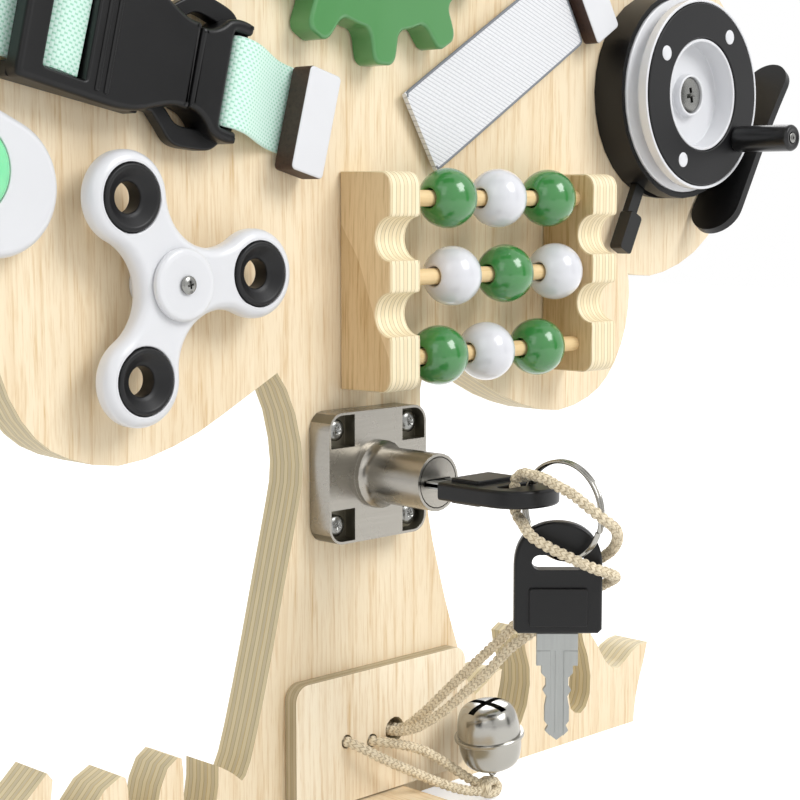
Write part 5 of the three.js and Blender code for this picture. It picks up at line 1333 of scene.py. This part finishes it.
def band(name, path, size, matrix):
    # Woven band along places in X and Y, mapped in mm
    route = smoothRoute([(x, y, 0) for x, y in path], strapWork["step"])
    half, thin = size[0] / 2, size[1] / 2
    soft = thin * strapWork["soft"]
    section = []
    for side in (1, -1):
        flat = [((half - soft) * share, thin) for share in spread(1, -1, strapWork["across"])]
        flat += [(soft * 0.3 - half, thin - soft * 0.3), (-half, thin - soft)]
        section += [(side * z, side * t) for z, t in flat]
    ring = len(section)
    verts, faces, faceUvs, reached = [], [], [], [0.0]
    for i, spot in enumerate(route):
        ahead = (route[min(i + 1, len(route) - 1)] - route[max(i - 1, 0)]).normalized()
        up = Vector((-ahead.y, ahead.x, 0))
        if i:
            reached.append(reached[-1] + (spot - route[i - 1]).length)
        verts += [spot + up * t + Vector((0, 0, z)) for z, t in section]
    for i, k, m, face in facesBetween(len(route), ring, False):
        faces.append(face)
        faceUvs.append(rect(section[k][0], reached[i], section[m][0], reached[i + 1]))
    for first, v in ((0, 0.0), ((len(route) - 1) * ring, reached[-1])):
        faces.append(tuple(range(first, first + ring)))
        faceUvs.append([(z, v) for z, t in section])
    return smoothShade(newPiece(name, verts, faces, matrix, faceUvs), 50)


buckleHalves = {
    "front": -12, "back": -0.4, "underBar": -6.4, "edge": 1.7, "headEdge": 1.5, "end": (-103, 18.2),
    "body": [(-80, 18.2), (-70, 17.9), (-64, 16.8), (-58, 14.2), (-53, 12.4), (-48, 12.0)],
    "window": (-95.5, -82, 13.8), "cavity": (-79, 15.3), "railEnd": (-61, 16.6),
    "floor": [(-79.5, 13), (-48.3, 11.4)], "ribs": (-78.6, -75.6), "rib": (0.75, 15.6),
    "neck": [(-47.6, 11.2), (-44, 11.8), (-41, 13.6), (-38.8, 15.8), (-36, 16.9), (-32.5, 17.2),
             (-29.6, 16.8)],
    "slot": (-36.2, 13.6), "bar": (-32.8, -29.8), "barLap": 0.6, "barFront": -9.5, "armBack": -2.2,
    "armFront": -6.6,
    "armOuter": [(-30.9, 16.5), (-34.0, 19.5), (-40.3, 21.0), (-47.5, 21.2), (-52.5, 17.6), (-56.0, 14.8)],
    "armEnd": [(-74.0, 14.8), (-74.0, 10.8)],
    "armInner": [(-57.0, 10.8), (-52.0, 12.4), (-47.2, 15.6), (-41.0, 15.2), (-36.0, 14.0), (-33.0, 12.0)],
    "tongue": (-70, -3.2, -44, 3.2),
}


def makeBuckle(matrix):
    b = buckleHalves
    front, back, under = b["front"], b["back"], b["underBar"]
    armFront, armBack, (deep, hollow) = b["armFront"], b["armBack"], b["cavity"]

    def plate(name, outline, corner, *depths, holes=(), steps=5):
        return roundedPlate(name, roundedCorners(outline, corner), holes, *depths, matrix, steps)

    x0, x1, half = b["window"]
    (end, wide), (railEnd, railWide) = b["end"], b["railEnd"]
    window = roundedCorners(rect(x0, -half, x1, half), 1.0)
    rails = [(end, -wide), (railEnd, -railWide), (railEnd, -hollow), (deep, -hollow)]
    rails += [(x, -z) for x, z in rails[::-1]] + [(end, half), (x1, half), (x1, -half), (end, -half)]
    parts = [
        plate("buckleTop", mirrored([b["end"]] + curvedThrough(b["body"])), 2.2, front, under, b["edge"], 0.2,
              holes=[(window, 0.9)]),
        plate("buckleRails", rails, 1.2, under - 0.3, back, 0.1, 0.8),
        plate("buckleFloor", mirrored(b["floor"]), 1.0, -1.9, back, 0.3, 0.3)]
    ribHalf, ribLong = b["rib"]
    for x in b["ribs"]:
        parts.append(plate("buckleRib", rect(x - ribHalf, -ribLong, x + ribHalf, ribLong), 0.7, front - 0.45,
                           front + 1, 0.4, 0.1, steps=3))
    dress(weightedNormals(joined("buckleSocket", parts), 40), "blackPlastic", "buckle_female")
    (slotX, slotHalf), (barEnd, barStart) = b["slot"], b["bar"]
    barHalf = slotHalf + b["barLap"]
    head = curvedThrough(b["neck"]) + [(barStart, slotHalf), (slotX, slotHalf)]
    arm = curvedThrough(b["armOuter"]) + b["armEnd"] + curvedThrough(b["armInner"])
    bar = rect(barEnd, -barHalf, barStart, barHalf)
    parts = [plate("buckleHead", mirrored(head), 1.3, front + 0.3, back - 0.3, b["headEdge"], 0.8),
             plate("buckleBar", bar, 0.5, b["barFront"], back - 0.3, 0.9, 0.6)]
    for sign in (1, -1):
        outline = anticlockwise([(x, sign * z) for x, z in arm])
        parts.append(roundedPlate("buckleArm", outline, [], armFront, armBack, 0.7, 0.7, matrix))
    parts.append(plate("buckleTongue", rect(*b["tongue"]), 1.0, armFront, armBack, 0.4, 0.4))
    dress(weightedNormals(joined("buckleClip", parts), 40), "blackPlastic", "buckle_male")


def makeStraps():
    web, loopFrame, welt = strapWork["webFrame"], strapWork["loopFrame"], strapWork["welt"]
    buckleFrame = web @ strapWork["buckleTurn"]
    left = band("leftWebbingWoven", strapWork["left"], strapWork["web"], web)
    dress(left, "mintWebbing", "left_webbing")
    right = band("rightWebbingWoven", strapWork["right"], strapWork["web"], buckleFrame)
    right.data.materials.append(materials["mintWebbing"])
    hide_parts("right_webbing")
    start, end = [buckleFrame @ Vector((x, 0, 0)) for x in strapWork["blend"]]
    tuple(start * mm)
    tuple(end * mm)
    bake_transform(right)
    makeBuckle(buckleFrame)
    for node in ("left_webbing_block", "right_webbing_block", "strap_block"):
        softened(node, "stainedBlock", strapWork["blockEdge"], 50)
    hook = band("hookStripWoven", strapWork["hookPath"], strapWork["hook"], loopFrame)
    dress(hook, "whiteRibbon", "hook_strip")
    loop = band("loopStrapWoven", strapWork["loopPath"], strapWork["loop"], loopFrame)
    dress(loop, "whiteRibbon", "loop_strap")
    half, (far, near) = strapWork["loop"][0] / 2 - welt["inset"], welt["ends"]
    corners = roundedCorners(rect(far + welt["inset"], -half, near, half), welt["corner"])
    route = smoothRoute([(x, welt["level"], z) for x, z in corners], welt["step"])
    edging = sweep("strapWelt", route, 8, welt["radius"], matrix=loopFrame)
    dress(edging, "weltGrey", body="loop_strap")
    print("straps done")


makeStraps()

# Push light
lightPiece = {"frame": place(-144.3, 200.2, -26), "halfSpan": 10.2, "endRadius": 18, "front": -8.3,
              "back": -0.3, "edges": (2.6, 0.3), "lens": 11.9, "lensGap": 0.3, "dome": 2.9,
              "lensFoot": [(11.9, -5.2), (13, -5.2), (13, -4.1), (0, -4.1)]}


def makeLight():
    spot, front, r, gap = lightPiece["frame"], lightPiece["front"], lightPiece["lens"], lightPiece["lensGap"]
    outline = stadium(0, 0, lightPiece["halfSpan"], lightPiece["endRadius"], 40)
    shell = roundedPlate("lightShellMoulded", outline, [(circle(0, 0, r + gap, 72), 0.35)], front,
                         lightPiece["back"], *lightPiece["edges"], spot, 8)
    dress(weightedNormals(shell, 50), "whitePlastic", "light_shell")
    quarter = spread(0, math.pi / 2, 14)
    dome = [(r * math.sin(t), front + gap - lightPiece["dome"] * math.cos(t)) for t in quarter]
    lens = lathe("lensMoulded", dome + lightPiece["lensFoot"], segments=72, matrix=spot)
    dress(smoothShade(lens, 50), "lensGreen", "light_lens")
    print("light done")


makeLight()

# CAD parts whose own shape is right
keptParts = {"lock_bolt": "screwSteel", "light_base": "circuitGreen", "bell_ball": "screwSteel"}
for node, finish in keptParts.items():
    kept = frame["nodes"][node]
    kept.data.materials.clear()
    kept.data.materials.append(materials[finish])
